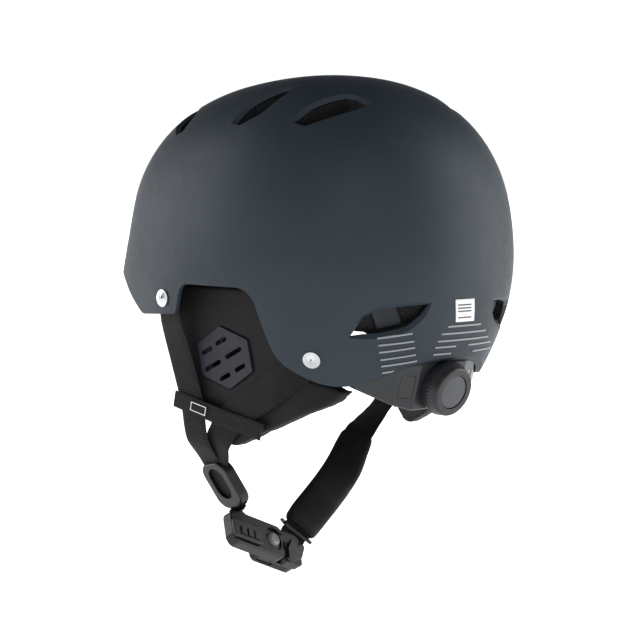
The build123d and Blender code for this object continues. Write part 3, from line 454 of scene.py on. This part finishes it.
def copy_of(node_name, name, material):
    piece = bpy.data.objects.new(name, nodes[node_name].data.copy())
    scene.collection.objects.link(piece)
    repaint(piece, material)
    return piece


def stand_in(piece, body, slot, *replaced):
    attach(piece, body)
    if replaced:
        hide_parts(*replaced)


# ---- webbing: (centre, outward direction) along each piece, in metres ------------------
FRONT_TOP = [
    ((0.1067, -0.0268, -0.0163), (1.00, -0.04, 0.06)),
    ((0.1070, -0.0249, -0.0249), (1.00, -0.02, -0.02)),
    ((0.1054, -0.0245, -0.0400), (1.00, 0.00, 0.10)),
]
REAR_TOP = [
    ((0.0722, 0.0854, -0.0523), (0.75, 0.55, -0.36)),
    ((0.0754, 0.0771, -0.0573), (0.79, 0.49, -0.37)),
    ((0.0771, 0.0680, -0.0647), (0.81, 0.44, -0.39)),
]


def mirrored(stations):
    return [((-c[0], c[1], c[2]), (-o[0], o[1], o[2])) for c, o in stations]


STRAPS = {
    "left_front_strap": FRONT_TOP + [
        ((0.1000, -0.0220, -0.0620), (0.98, 0.05, 0.20)),
        ((0.0948, -0.0170, -0.0920), (0.99, 0.12, -0.06)),
        ((0.0924, -0.0145, -0.1160), (0.98, 0.08, -0.15)),
        ((0.0812, -0.0147, -0.1318), (0.89, 0.00, -0.45)),
        ((0.0659, -0.0065, -0.1625), (0.89, 0.00, -0.45)),
        ((0.0662, -0.0050, -0.1688), (0.23, -0.82, -0.53)),
        ((0.0717, 0.0048, -0.1816), (0.23, -0.82, -0.53)),
    ],
    "left_rear_strap": REAR_TOP + [
        ((0.0809, 0.0570, -0.0730), (0.93, 0.30, -0.20)),
        ((0.0838, 0.0440, -0.0820), (0.98, 0.17, -0.06)),
        ((0.0874, 0.0170, -0.0980), (0.98, 0.17, -0.06)),
        ((0.0884, 0.0020, -0.1150), (0.98, 0.17, -0.06)),
        ((0.0826, -0.0070, -0.1270), (0.95, 0.10, -0.30)),
        ((0.0799, -0.0149, -0.1300), (0.89, 0.00, -0.45)),
        ((0.0641, -0.0065, -0.1616), (0.89, 0.00, -0.45)),
        ((0.0658, -0.0037, -0.1680), (0.23, -0.82, -0.53)),
        ((0.0714, 0.0061, -0.1807), (0.23, -0.82, -0.53)),
    ],
    "right_front_strap": mirrored(FRONT_TOP) + [
        ((-0.1040, -0.0170, -0.0560), (-0.99, 0.10, 0.05)),
        ((-0.0990, -0.0075, -0.0718), (-1.00, 0.00, -0.02)),
        ((-0.0983, -0.0245, -0.1013), (-1.00, 0.00, -0.02)),
    ],
    "right_rear_strap": mirrored(REAR_TOP) + [
        ((-0.0809, 0.0570, -0.0710), (-0.93, 0.30, -0.20)),
        ((-0.0844, 0.0440, -0.0740), (-0.98, 0.17, -0.06)),
        ((-0.0894, 0.0240, -0.0720), (-0.98, 0.17, -0.06)),
        ((-0.0944, 0.0070, -0.0660), (-0.98, 0.20, 0.00)),
        ((-0.0970, -0.0075, -0.0718), (-1.00, 0.00, -0.02)),
        ((-0.0963, -0.0245, -0.1012), (-1.00, 0.00, -0.02)),
    ],
}
SLEEVE = [
    ((0.0137, -0.0041, -0.1833), (-0.15, -0.82, -0.55)),
    ((0.0034, -0.0061, -0.1763), (-0.20, -0.82, -0.54)),
    ((-0.0111, -0.0074, -0.1660), (-0.28, -0.80, -0.52)),
    ((-0.0247, -0.0099, -0.1568), (-0.35, -0.78, -0.52)),
    ((-0.0354, -0.0115, -0.1475), (-0.45, -0.72, -0.52)),
    ((-0.0440, -0.0135, -0.1375), (-0.53, -0.68, -0.51)),
    ((-0.0530, -0.0160, -0.1280), (-0.61, -0.61, -0.51)),
]
CHIN_STRAP = [
    ((0.0288, 0.0013, -0.1957), (0.23, -0.82, -0.53)),
    ((0.0185, -0.0058, -0.1892), (0.23, -0.82, -0.53)),
    ((0.0157, -0.0057, -0.1863), (0.23, -0.82, -0.53)),
] + SLEEVE + [
    ((-0.0690, -0.0215, -0.1200), (-0.78, -0.36, -0.52)),
    ((-0.0840, -0.0270, -0.1135), (-0.81, -0.20, -0.55)),
    ((-0.0928, -0.0293, -0.1095), (-0.86, -0.10, -0.50)),
    ((-0.0972, -0.0272, -0.1060), (-1.00, 0.00, -0.02)),
]
BANDS = {
    "left": [
        ((0.0994, -0.0290, -0.0905), (0.98, 0.17, -0.06)),
        ((0.0973, -0.0170, -0.0935), (0.98, 0.17, -0.06)),
        ((0.0943, 0.0000, -0.0975), (0.98, 0.17, -0.06)),
        ((0.0906, 0.0150, -0.1015), (0.98, 0.20, 0.00)),
        ((0.0870, 0.0320, -0.1050), (0.98, 0.20, 0.00)),
        ((0.0854, 0.0400, -0.1070), (0.99, 0.17, 0.00)),
    ],
    "right": [
        ((-0.1074, -0.0300, -0.0500), (-1.00, 0.10, 0.00)),
        ((-0.1064, -0.0180, -0.0540), (-1.00, 0.10, 0.00)),
        ((-0.1015, 0.0020, -0.0610), (-0.97, 0.24, 0.00)),
        ((-0.0956, 0.0200, -0.0660), (-0.96, 0.29, 0.00)),
        ((-0.0902, 0.0360, -0.0700), (-0.96, 0.27, 0.00)),
        ((-0.0874, 0.0460, -0.0730), (-0.99, 0.17, 0.00)),
    ],
}
ARM_REAR = [
    ((0.0560, 0.0884, -0.0714), (-0.53, -0.82, 0.23)),
    ((0.0620, 0.0835, -0.0680), (-0.61, -0.77, 0.20)),
    ((0.0720, 0.0750, -0.0556), (-0.79, -0.49, 0.37)),
    ((0.0760, 0.0710, -0.0519), (-0.82, -0.45, 0.35)),
]
ARMS = {
    "left": [
        ((0.0310, 0.1036, -0.0695), (0.00, -0.96, 0.28)),
        ((0.0350, 0.1027, -0.0703), (0.00, -0.96, 0.28)),
        ((0.0440, 0.0961, -0.0715), (-0.53, -0.82, 0.23)),
    ] + ARM_REAR,
    "right": [
        ((-0.0310, 0.1003, -0.0810), (0.00, -0.96, 0.28)),
        ((-0.0350, 0.0999, -0.0799), (0.00, -0.96, 0.28)),
        ((-0.0440, 0.0950, -0.0753), (0.53, -0.82, 0.23)),
    ] + mirrored(ARM_REAR),
}
HANGER = [
    ((0.0000, 0.1036, -0.0580), (0.00, -0.94, -0.34)),
    ((0.0000, 0.1060, -0.0500), (0.00, -0.95, -0.30)),
    ((0.0000, 0.1085, -0.0410), (0.00, -0.97, -0.25)),
]
WEBBING_WIDTH, WEBBING_THICKNESS = 0.0200, 0.0015
BAND_WIDTH, BAND_THICKNESS = 0.0110, 0.0009
BAND_STITCHED = (0.62, 0.98)    # first and last place of the band's stitches
ARM_WIDTH, ARM_EAR_WIDTH = 0.0056, 0.0132
ARM_TAPER = (0.55, 0.80)        # places between which the arm widens to its rivet ear
ARM_THICKNESS = 0.0016
HANGER_WIDTH, HANGER_THICKNESS = 0.0160, 0.0012


STITCH_LENGTH, STITCH_GAP, STITCH_RADIUS = 0.0021, 0.0009, 0.00024
STITCH_SIDES = 6
STITCH_PROFILE = ((0, 0.3), (0.2, 1), (0.8, 1), (1, 0.3))   # share of length, of radius


def stitches(name, rows):
    """Threads laid along rows of (points, outward), as short raised capsules."""
    points, faces = [], []
    for row, outward in rows:
        run = 0.0
        for start, end in zip(row, row[1:]):
            span = (end - start).length
            along = (end - start).normalized()
            side = outward.cross(along).normalized()
            while run + STITCH_LENGTH < span:
                base = len(points)
                for k, (share, size) in enumerate(STITCH_PROFILE):
                    centre = start + along * (run + STITCH_LENGTH * share)
                    for turn in range(STITCH_SIDES):
                        angle = 2 * math.pi * turn / STITCH_SIDES
                        points.append(centre + (side * math.cos(angle) + outward * math.sin(angle))
                                      * STITCH_RADIUS * size)
                for k in range(len(STITCH_PROFILE) - 1):
                    ring = base + k * STITCH_SIDES
                    for turn in range(STITCH_SIDES):
                        a, b = ring + turn, ring + (turn + 1) % STITCH_SIDES
                        faces.append((a, b, b + STITCH_SIDES, a + STITCH_SIDES))
                faces.append(tuple(base + t for t in reversed(range(STITCH_SIDES))))
                last = len(points) - STITCH_SIDES
                faces.append(tuple(last + t for t in range(STITCH_SIDES)))
                run += STITCH_LENGTH + STITCH_GAP
            run = max(run - span, 0.0)
    piece = new_object(name, points, faces, THREAD)
    fix_normals(piece)
    return piece


def rows_on(stations, width, lift, first, last, inset=0.0022):
    """Two stitch rows near a strip's edges, from place first to place last."""
    path = smooth_path(stations, STRIP_STEP)
    count = len(path) - 1
    chosen = path[round(first * count):round(last * count) + 1]
    rows = []
    for side in (-1, 1):
        line = []
        for i, (centre, outward, _) in enumerate(chosen):
            behind, ahead = neighbours(chosen, i)
            over = outward.cross(ahead - behind).normalized()
            line.append(centre + over * side * (width / 2 - inset) + outward * lift)
        rows.append((line, chosen[len(chosen) // 2][1]))
    return rows


def make_webbing():
    for name, stations in STRAPS.items():
        piece = strip(f"{name}_webbing", stations, WEBBING_WIDTH, WEBBING_THICKNESS,
                      MATERIALS["webbing"])
        stand_in(piece, "shell", "webbing", name)
    for side, stations in BANDS.items():
        band = strip(f"{side}_keeper_band_elastic", stations, BAND_WIDTH, BAND_THICKNESS,
                     MATERIALS["elastic"])
        stand_in(band, "shell", "elastic", f"{side}_keeper_band")
        tack = stitches(f"{side}_band_stitches", rows_on(
            stations, BAND_WIDTH, BAND_THICKNESS / 2, *BAND_STITCHED))
        stand_in(tack, "shell", "elastic")
        make_tag(side)
    chin = strip("chin_strap_webbing", CHIN_STRAP, WEBBING_WIDTH, WEBBING_THICKNESS,
                 MATERIALS["webbing"])
    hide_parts("chin_strap")
    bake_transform(chin)


TAG_BORDER = (0.0064, 0.0029)           # half sizes along and across the band
TAG_BORDER_INSIDE = (0.0059, 0.0024)
TAG_BORDER_LIFTS = (0.00020, 0.00042)
TAG_ROUNDING = 0.00018


def make_tag(side):
    """A woven tag on the band, with rounded edges and a white border; its fold and its seams along
    both short edges are not modelled.
    """
    tag = copy_of(f"{side}_tag", f"{side}_tag_fabric", MATERIALS["tag_fabric"])
    work = tag.modifiers.new("edges", "BEVEL")
    work.width = TAG_ROUNDING
    work.segments = 2
    apply_modifiers(tag)
    tag.data.shade_smooth()
    stand_in(tag, "shell", "tag_fabric", f"{side}_tag")
    (start, outward), (end, _) = BANDS[side][1:3]
    along = (Vector(end) - Vector(start)).normalized()
    out = Vector(outward).normalized()
    over = out.cross(along).normalized()
    out = along.cross(over).normalized()
    centre = sum((v.co for v in tag.data.vertices), Vector()) / len(tag.data.vertices)
    points, faces = [], []
    for lift in TAG_BORDER_LIFTS:
        for reach_x, reach_y in (TAG_BORDER, TAG_BORDER_INSIDE):
            for x, y in ((-1, -1), (1, -1), (1, 1), (-1, 1)):
                points.append(centre + along * x * reach_x + over * y * reach_y + out * lift)
    for k in range(4):
        n = (k + 1) % 4
        faces.append((8 + k, 8 + n, 12 + n, 12 + k))
        faces.append((k, 4 + k, 4 + n, n))
        faces.append((k, n, 8 + n, 8 + k))
        faces.append((4 + n, 4 + k, 12 + k, 12 + n))
    border = new_object(f"{side}_tag_border", points, faces, LABEL_WHITE)
    fix_normals(border)
    stand_in(border, "shell", "tag_fabric")


make_webbing()


# ---- chin sleeve ----------------------------------------------------------------------
SLEEVE_WIDTHS = (0.025, 0.026, 0.026, 0.026, 0.026, 0.0245, 0.023)
SLEEVE_THICKNESS = 0.0050
SLEEVE_STEP = 0.0012
SLEEVE_SIDES = 40
SLEEVE_SEAM_WIDTH = 0.0215
SLEEVE_HOLE = (WEBBING_WIDTH / 2 + 0.0004, 0.0011)      # half width and half thickness
END_ROLL, END_ROLL_RINGS = 0.10, 1.2    # how far the ends roll in, and over how many rings
CREASE = 0.035                  # share of the thickness


def sleeve_width(place):
    spot = place * (len(SLEEVE_WIDTHS) - 1)
    index = min(int(spot), len(SLEEVE_WIDTHS) - 2)
    share = spot - index
    return SLEEVE_WIDTHS[index] * (1 - share) + SLEEVE_WIDTHS[index + 1] * share


def make_sleeve():
    """A padded tube round the chin strap, with rolled ends, creases and a seam along one edge."""
    path = smooth_path(SLEEVE, SLEEVE_STEP)
    rings, around = len(path), SLEEVE_SIDES
    turns = [2 * math.pi * k / around for k in range(around)]
    points, faces = [], []
    for i, (centre, over, out, place) in enumerate(crosswise(path)):
        end = min(i, rings - 1 - i)
        roll = 1 - END_ROLL * math.exp(-end / END_ROLL_RINGS)
        crease = 1 + CREASE * math.sin(place * 31) * math.sin(place * 13 + 1)
        for c, s in ((math.cos(turn), math.sin(turn)) for turn in turns):
            # a flattened loop: full thickness in the middle, rounded edges
            x = math.copysign(abs(c) ** 0.55, c) * sleeve_width(place) / 2 * roll
            z = math.copysign(abs(s) ** 0.75, s) * SLEEVE_THICKNESS / 2 * roll * crease
            z *= 1 - 0.14 * (1 - abs(s)) ** 2
            points.append(centre + over * x + out * z)
    inner = len(points)
    for centre, over, out, _ in crosswise(path):
        for c, s in ((math.cos(turn), math.sin(turn)) for turn in turns):
            x = math.copysign(abs(c) ** 0.3, c) * SLEEVE_HOLE[0]
            z = math.copysign(abs(s) ** 0.3, s) * SLEEVE_HOLE[1]
            points.append(centre + over * x + out * z)
    for layer in (0, inner):
        for i in range(rings - 1):
            for k in range(around):
                a = layer + i * around + k
                b = layer + i * around + (k + 1) % around
                faces.append((a, b, b + around, a + around))
    for i in (0, rings - 1):
        for k in range(around):
            a, b = i * around + k, i * around + (k + 1) % around
            faces.append((a, b, b + inner, a + inner))
    sleeve = new_object("chin_sleeve_padding", points, faces, MATERIALS["sleeve_neoprene"])
    sleeve.data.shade_smooth()
    fix_normals(sleeve)
    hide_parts("chin_pad")
    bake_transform(sleeve)
    seam = stitches("sleeve_seam", rows_on(
        SLEEVE, SLEEVE_SEAM_WIDTH, SLEEVE_THICKNESS / 2 - 0.0001, 0.05, 0.95, inset=0.0))
    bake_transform(seam)


make_sleeve()


# ---- cradle arms and hanger ------------------------------------------------------------
def arm_width(place):
    start, end = ARM_TAPER
    share = min(max((place - start) / (end - start), 0), 1)
    return ARM_WIDTH + (ARM_EAR_WIDTH - ARM_WIDTH) * share


def make_arms():
    for side, stations in ARMS.items():
        arm = strip(f"{side}_arm_band", stations, arm_width, ARM_THICKNESS,
                    MATERIALS["arm_plastic"])
        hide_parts(f"{side}_arm")
        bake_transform(arm)
    hanger = strip("cradle_hanger_web", HANGER, HANGER_WIDTH, HANGER_THICKNESS,
                   MATERIALS["arm_plastic"])
    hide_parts("cradle_hanger")
    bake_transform(hanger)


make_arms()


# ---- pads ------------------------------------------------------------------------------
def remesh(piece, material, voxel):
    work = piece.modifiers.new("remesh", "REMESH")
    work.mode = "VOXEL"
    work.voxel_size = voxel
    apply_modifiers(piece)
    repaint(piece, material)


def relaxed(piece, times):
    work = piece.modifiers.new("relax", "SMOOTH")
    work.factor = 0.5
    work.iterations = times
    apply_modifiers(piece)
    piece.data.shade_smooth()


def moved_inward(piece, distance):
    work = bmesh.new()
    work.from_mesh(piece.data)
    work.normal_update()
    for vertex in work.verts:
        vertex.co -= vertex.normal * distance
    work.to_mesh(piece.data)
    work.free()


PUFF_FRAMES = 20
PUFF_PRESSURE = 4
PUFF_START = 0.6                # how far in the pad starts, as a share of its greatest swell
PAD_VOXEL, PAD_SWELL = 0.0035, 0.0020
CRADLE_PAD_VOXEL, CRADLE_PAD_SWELL = 0.0018, 0.0012


def puffed(node_name, name, slot_name, voxel, cap):
    """A lining pad that air pressure swells into a crowned cushion."""
    material = MATERIALS[slot_name]
    piece = copy_of(node_name, name, material)
    remesh(piece, material, voxel)
    relaxed(piece, 2)
    moved_inward(piece, cap * PUFF_START)
    rest = [vertex.co.copy() for vertex in piece.data.vertices]
    cloth = piece.modifiers.new("cloth", "CLOTH")
    cloth.settings.quality = 5
    cloth.settings.use_pressure = True
    cloth.settings.uniform_pressure_force = PUFF_PRESSURE
    cloth.settings.effector_weights.gravity = 0
    cloth.point_cache.frame_start = 1
    cloth.point_cache.frame_end = PUFF_FRAMES
    for step in range(1, PUFF_FRAMES + 1):
        scene.frame_set(step)
    apply_modifiers(piece)
    scene.frame_set(1)
    for vertex, start in zip(piece.data.vertices, rest):
        travel = vertex.co - start
        if travel.length > cap:
            vertex.co = start + travel.normalized() * cap
    work = piece.modifiers.new("finer", "SUBSURF")
    work.levels = 1
    apply_modifiers(piece)
    relaxed(piece, 3)
    repaint(piece, material)
    return piece


EAR_VOXEL = 0.0014
EAR_THICKNESS = 0.0105
EAR_FOLD = -0.075               # below this height the pad's lower edge slants up to the rear
EAR_LOWEST = -0.119
CAD_EDGE_START, CAD_EDGE_SLOPE = 0.034, 0.018 / 0.026       # the CAD pad's lower rear edge
SHOWN_EDGE_START, SHOWN_EDGE_SLOPE = 0.012, 0.033 / 0.072   # the same edge as shown
LOBE_START, LOBE_END, LOBE_TOP = 0.044, 0.085, -0.070
LOBE_TIP = 0.009                # length of the rounded tip
LOBE_ROWS, LOBE_STEPS = 8, 22


EAR_CENTRE = (0.089, 0.010, -0.060)     # a point on the left pad's outer face
EAR_SLOPE_Y, EAR_SLOPE_Z = -0.17, 0.06
EAR_BEND = -0.9                 # how fast the face turns in behind its centre
TUCK_START, TUCK_BEND = 0.058, -16      # and once more behind the rear strap


def ear_face(y, z):
    """Outer face of the left ear pad, which tucks in behind the rear strap."""
    x0, y0, z0 = EAR_CENTRE
    rearward = max(y - y0, 0)
    tuck = max(y - TUCK_START, 0)
    return (x0 + EAR_SLOPE_Y * (y - y0) + EAR_BEND * rearward ** 2
            + EAR_SLOPE_Z * (z - z0) + TUCK_BEND * tuck ** 2)


def ear_bottom(y):
    return EAR_LOWEST + SHOWN_EDGE_SLOPE * max(y - SHOWN_EDGE_START, 0)


def ear_lobe(side, sign):
    """The ear pad's rear end, which runs up under the shell's rim."""
    points, faces = [], []
    rows, steps = LOBE_ROWS, LOBE_STEPS
    for i in range(steps + 1):
        y = LOBE_START + (LOBE_END - LOBE_START) * i / steps
        rounding = 0.010 * max((y - (LOBE_END - LOBE_TIP)) / LOBE_TIP, 0) ** 2
        top = LOBE_TOP - 0.30 * max(y - 0.060, 0) - rounding * 0.3
        bottom = ear_bottom(y) + rounding * 0.5
        for depth in (0, EAR_THICKNESS):
            for j in range(rows + 1):
                z = bottom + (top - bottom) * j / rows
                points.append((sign * (ear_face(y, z) - depth), y, z))
    size = 2 * (rows + 1)
    loop = list(range(rows + 1)) + list(range(size - 1, rows, -1))
    for i in range(steps):
        for a, b in zip(loop, loop[1:] + loop[:1]):
            faces.append((i * size + a, i * size + b, (i + 1) * size + b, (i + 1) * size + a))
    for i in (0, steps):
        for j in range(rows):
            a = i * size + j
            faces.append((a, a + 1, a + rows + 2, a + rows + 1))
    lobe = new_object(f"{side}_lobe", points, faces, MATERIALS["ear_foam"])
    fix_normals(lobe)
    return lobe


def ear_foam_pad(side, sign):
    """The CAD pad with its lower edge slanted up to the rear and joined to the rear lobe."""
    name = f"{side}_ear_pad"
    pad = copy_of(name, f"{name}_foam", MATERIALS["ear_foam"])
    for vertex in pad.data.vertices:
        y, z = vertex.co.y, vertex.co.z
        if z < EAR_FOLD and y > 0.0:
            cad_bottom = EAR_LOWEST + CAD_EDGE_SLOPE * max(y - CAD_EDGE_START, 0)
            share = (ear_bottom(y) - EAR_FOLD) / (cad_bottom - EAR_FOLD)
            vertex.co.z = EAR_FOLD + (z - EAR_FOLD) * share
    lobe = ear_lobe(side, sign)
    work = bmesh.new()
    work.from_mesh(pad.data)
    work.from_mesh(lobe.data)
    work.to_mesh(pad.data)
    work.free()
    bpy.data.objects.remove(lobe)
    remesh(pad, MATERIALS["ear_foam"], EAR_VOXEL)
    relaxed(pad, 6)
    return pad


EAR_HOLE = (0.0095, -0.0620)    # y, z of the hole behind the slotted insert
# size and depth of the dark disc of painted shade behind the ear insert
SHADE_DISC_RADIUS, SHADE_DISC_DEPTH, SHADE_DISC_THICKNESS = 0.0145, 0.0088, 0.0008
SHADE_DISC_SIDES = 32


def ear_hole_shade_disc(side, sign):
    """A dark disc across the hole behind the ear insert: a sheet of painted shade that stands in
    for the shade in the hole.
    """
    points, faces = [], []
    y, z = EAR_HOLE
    turns = SHADE_DISC_SIDES
    for depth in (SHADE_DISC_DEPTH, SHADE_DISC_DEPTH + SHADE_DISC_THICKNESS):
        points.append((sign * (ear_face(y, z) - depth), y, z))
        for k in range(turns):
            turn = 2 * math.pi * k / turns
            spot = y + SHADE_DISC_RADIUS * math.cos(turn), z + SHADE_DISC_RADIUS * math.sin(turn)
            points.append((sign * (ear_face(*spot) - depth), *spot))
    back = turns + 1
    for k in range(turns):
        a, b = 1 + k, 1 + (k + 1) % turns
        faces += [(0, a, b), (back, back + b, back + a), (a, back + a, back + b, b)]
    shade_disc = new_object(f"{side}_ear_hole_shade_disc", points, faces, MATERIALS["comfort_fabric"])
    fix_normals(shade_disc)
    stand_in(shade_disc, "shell", "comfort_fabric")


def make_pads():
    for side, sign in (("left", 1), ("right", -1)):
        name = f"{side}_ear_pad"
        # a dark disc stands in for the shade in the hole behind the ear insert
        ear_hole_shade_disc(side, sign)
        pad = ear_foam_pad(side, sign)
        stand_in(pad, "shell", "ear_foam", name)
    for name in ("front_pad", "crown_pad", "rear_pad", "left_side_pad", "right_side_pad"):
        pad = puffed(name, f"{name}_cushion", "comfort_fabric", PAD_VOXEL, PAD_SWELL)
        stand_in(pad, "shell", "comfort_fabric", name)
    pad = puffed("cradle_pad", "cradle_pad_cushion", "comfort_fabric",
                 CRADLE_PAD_VOXEL, CRADLE_PAD_SWELL)
    stand_in(pad, "cradle", "comfort_fabric", "cradle_pad")


make_pads()


# ---- decals on the shell ----------------------------------------------------------------
SHELL_TREE = BVHTree.FromPolygons(
    [nodes["outer_shell"].matrix_world @ v.co for v in nodes["outer_shell"].data.vertices],
    [tuple(p.vertices) for p in nodes["outer_shell"].data.polygons])
DECAL_LIFT, DECAL_THICKNESS = 0.00028, 0.0001
STRIPE_WIDTH = 1.1              # mm


def on_shell(x, z, lift):
    """The point of the shell's rear face at x, z (in mm), raised by lift."""
    hit, normal, _, _ = SHELL_TREE.ray_cast(Vector((x / 1000, 0.3, z / 1000)), Vector((0, -1, 0)))
    return hit + normal * lift


def patch(name, corners, material, cells=(12, 12), lift=DECAL_LIFT):
    """A thin print with four (x, z) corners, wrapped on the shell."""
    a, b, c, d = [Vector((x, z)) for x, z in corners]
    across, down = cells
    points, faces = [], []
    for j in range(down + 1):
        for i in range(across + 1):
            s, t = i / across, j / down
            spot = (a * (1 - s) + b * s) * (1 - t) + (d * (1 - s) + c * s) * t
            points.append(on_shell(spot.x, spot.y, lift))
    for j in range(down):
        for i in range(across):
            k = j * (across + 1) + i
            faces.append((k, k + 1, k + across + 2, k + across + 1))
    piece = new_object(name, points, faces, material)
    work = piece.modifiers.new("skin", "SOLIDIFY")
    work.thickness = DECAL_THICKNESS
    work.offset = 0
    apply_modifiers(piece)
    stand_in(piece, "shell", "shell_coating")
    return piece


def stripe(name, start, end):
    (x1, z1), (x2, z2) = start, end
    tilt = Vector((x2 - x1, z2 - z1)).normalized()
    over = Vector((-tilt.y, tilt.x)) * STRIPE_WIDTH / 2
    corners = [(x1 + over.x, z1 + over.y), (x2 + over.x, z2 + over.y),
               (x2 - over.x, z2 - over.y), (x1 - over.x, z1 - over.y)]
    return patch(name, corners, DECAL_GREY, (24, 1))


LEFT_STRIPES = [((55.5, -45.2), (36.6, -42.6)), ((53.9, -49.6), (33.9, -47.6)),
                ((52.3, -54.1), (32.2, -51.6)), ((50.2, -58.8), (30.0, -56.2)),
                ((48.3, -62.9), (27.5, -60.3)), ((46.3, -67.2), (39.8, -66.2))]
CENTRE_STRIPES = [((11.9, -39.6), (-19.3, -39.6)), ((15.6, -44.1), (-27.2, -44.1)),
                  ((16.7, -48.6), (-33.4, -48.6)), ((17.2, -52.5), (-0.4, -52.5)),
                  ((-12.2, -52.5), (-41.0, -52.5)), ((16.9, -57.0), (2.1, -57.0)),
                  ((-19.0, -57.0), (-46.0, -57.0))]


LABEL_CORNERS = [(10, -22.8), (-7, -22.8), (-11, -37), (6, -37)]
LABEL_LINES = (0.22, 0.36, 0.50, 0.78)      # places down the label
LABEL_LINE_LENGTH, LABEL_LINE_WIDTH = 12, 0.9


def make_decals():
    for i, (start, end) in enumerate(LEFT_STRIPES):
        stripe(f"left_stripe_{i}", start, end)
    for i, (start, end) in enumerate(CENTRE_STRIPES):
        stripe(f"centre_stripe_{i}", start, end)
    patch("rear_label", LABEL_CORNERS, LABEL_WHITE)
    (right, top), (_, bottom) = LABEL_CORNERS[0], LABEL_CORNERS[3]
    slant = right - LABEL_CORNERS[3][0]
    for i, share in enumerate(LABEL_LINES):
        x, z = right - 2 - slant * share, top + (bottom - top) * share
        low, end = z - LABEL_LINE_WIDTH, x - LABEL_LINE_LENGTH
        patch(f"label_line_{i}", [(x, z), (end, z), (end - 0.3, low), (x - 0.3, low)],
              LABEL_INK, (12, 1), lift=DECAL_LIFT + DECAL_THICKNESS)


make_decals()


# ---- studio -----------------------------------------------------------------------------
SCREEN_EDGE, SCREEN_CORE = 0.15, 0.75       # as cosines from the camera's direction
SCREEN_COLOUR = (0.10, 0.11, 0.125, 1)
WORLD_HIGH_COLOUR = (0.05, 0.055, 0.065, 1)
WORLD_LOW, WORLD_HIGH = 0.10, 0.42          # sines of height: white below, dark above
WORLD_STRENGTH = 1.05
WHITE = (1, 1, 1, 1)
FLOOR_REACH, FLOOR_DROP = 30, 0.012
GLOW_START, GLOW_END = 0.80, 1.4            # lowest and highest glow of the paper
GLOW_NEAR, GLOW_FAR = 0.20, 0.60            # and how far from the helmet they are
# name: place along the camera's right, along its back and up, then size and power
SOFTBOXES = {
    "left_rim": ((-1.2, -0.35, 0.35), (0.5, 1.3), 7),
    "right_rim": ((1.2, -0.20, 0.30), (0.6, 1.3), 10),
    "front_fill": ((0.0, 1.6, 0.9), (1.2, 0.8), 5),
}


def make_world():
    world = bpy.data.worlds.new("studio")
    scene.world = world
    world.use_nodes = True
    tree = world.node_tree
    backdrop = tree.nodes["Background"]
    place = tree.nodes.new("ShaderNodeTexCoord")
    split = tree.nodes.new("ShaderNodeSeparateXYZ")
    ramp = tree.nodes.new("ShaderNodeValToRGB")
    tree.links.new(place.outputs["Generated"], split.inputs[0])
    tree.links.new(split.outputs["Z"], ramp.inputs["Fac"])
    ramp.color_ramp.elements[0].position = WORLD_LOW
    ramp.color_ramp.elements[0].color = WHITE
    ramp.color_ramp.elements[1].position = WORLD_HIGH
    ramp.color_ramp.elements[1].color = WORLD_HIGH_COLOUR
    # a dark screen behind the camera keeps the shell's face dark and its outline lit
    facing = tree.nodes.new("ShaderNodeVectorMath")
    facing.operation = "DOT_PRODUCT"
    facing.inputs[1].default_value = VIEW_BACK
    tree.links.new(place.outputs["Generated"], facing.inputs[0])
    screen = tree.nodes.new("ShaderNodeMapRange")
    screen.interpolation_type = "SMOOTHSTEP"
    screen.inputs["From Min"].default_value = SCREEN_EDGE
    screen.inputs["From Max"].default_value = SCREEN_CORE
    tree.links.new(facing.outputs["Value"], screen.inputs["Value"])
    mix = tree.nodes.new("ShaderNodeMix")
    mix.data_type = "RGBA"
    mix.inputs["B"].default_value = SCREEN_COLOUR
    tree.links.new(screen.outputs["Result"], mix.inputs["Factor"])
    tree.links.new(ramp.outputs["Color"], mix.inputs["A"])
    # the screen lights the helmet but isn't seen above the floor's far edge
    seen = tree.nodes.new("ShaderNodeMix")
    seen.data_type = "RGBA"
    seen.inputs["B"].default_value = WHITE
    tree.links.new(tree.nodes.new("ShaderNodeLightPath").outputs["Is Camera Ray"],
                   seen.inputs["Factor"])
    tree.links.new(mix.outputs["Result"], seen.inputs["A"])
    tree.links.new(seen.outputs["Result"], backdrop.inputs["Color"])
    backdrop.inputs["Strength"].default_value = WORLD_STRENGTH


def softbox(name, place, target, size, energy):
    data = bpy.data.lights.new(name, "AREA")
    data.shape = "RECTANGLE"
    data.size, data.size_y = size
    data.energy = energy
    lamp = bpy.data.objects.new(name, data)
    lamp.location = place
    lamp.rotation_euler = (Vector(target) - Vector(place)).to_track_quat("-Z", "Y").to_euler()
    scene.collection.objects.link(lamp)


def floor_paper():
    """Pale paper with a painted glow: its emission grows away from the helmet, so it glows though
    it is no lamp.
    """
    m = Nodes("floor_paper", (0.90, 0.90, 0.90), 0.9)
    m.set("Emission Color", WHITE)
    reach = m.add("ShaderNodeVectorMath", operation="LENGTH")
    m.link(m.place(), reach.inputs[0])
    # painted glow: emission strength rises with distance from the helmet
    glow = m.span(reach.outputs["Value"], GLOW_START, GLOW_END, GLOW_NEAR, GLOW_FAR)
    m.link(glow, m.shader.inputs["Emission Strength"])
    return m.material


def make_studio():
    make_world()
    for name, ((right, back, up), size, energy) in SOFTBOXES.items():
        offset = VIEW_RIGHT * right + VIEW_BACK * back + Vector((0, 0, up))
        softbox(name, VIEW_TARGET + offset, VIEW_TARGET, size, energy)
    low = cad_box[0].z - FLOOR_DROP
    corners = [(x * FLOOR_REACH, y * FLOOR_REACH, low)
               for x, y in ((-1, -1), (1, -1), (1, 1), (-1, 1))]
    floor = new_object("floor", corners, [(0, 1, 2, 3)], floor_paper())
    scene.view_settings.view_transform = "Standard"


make_studio()
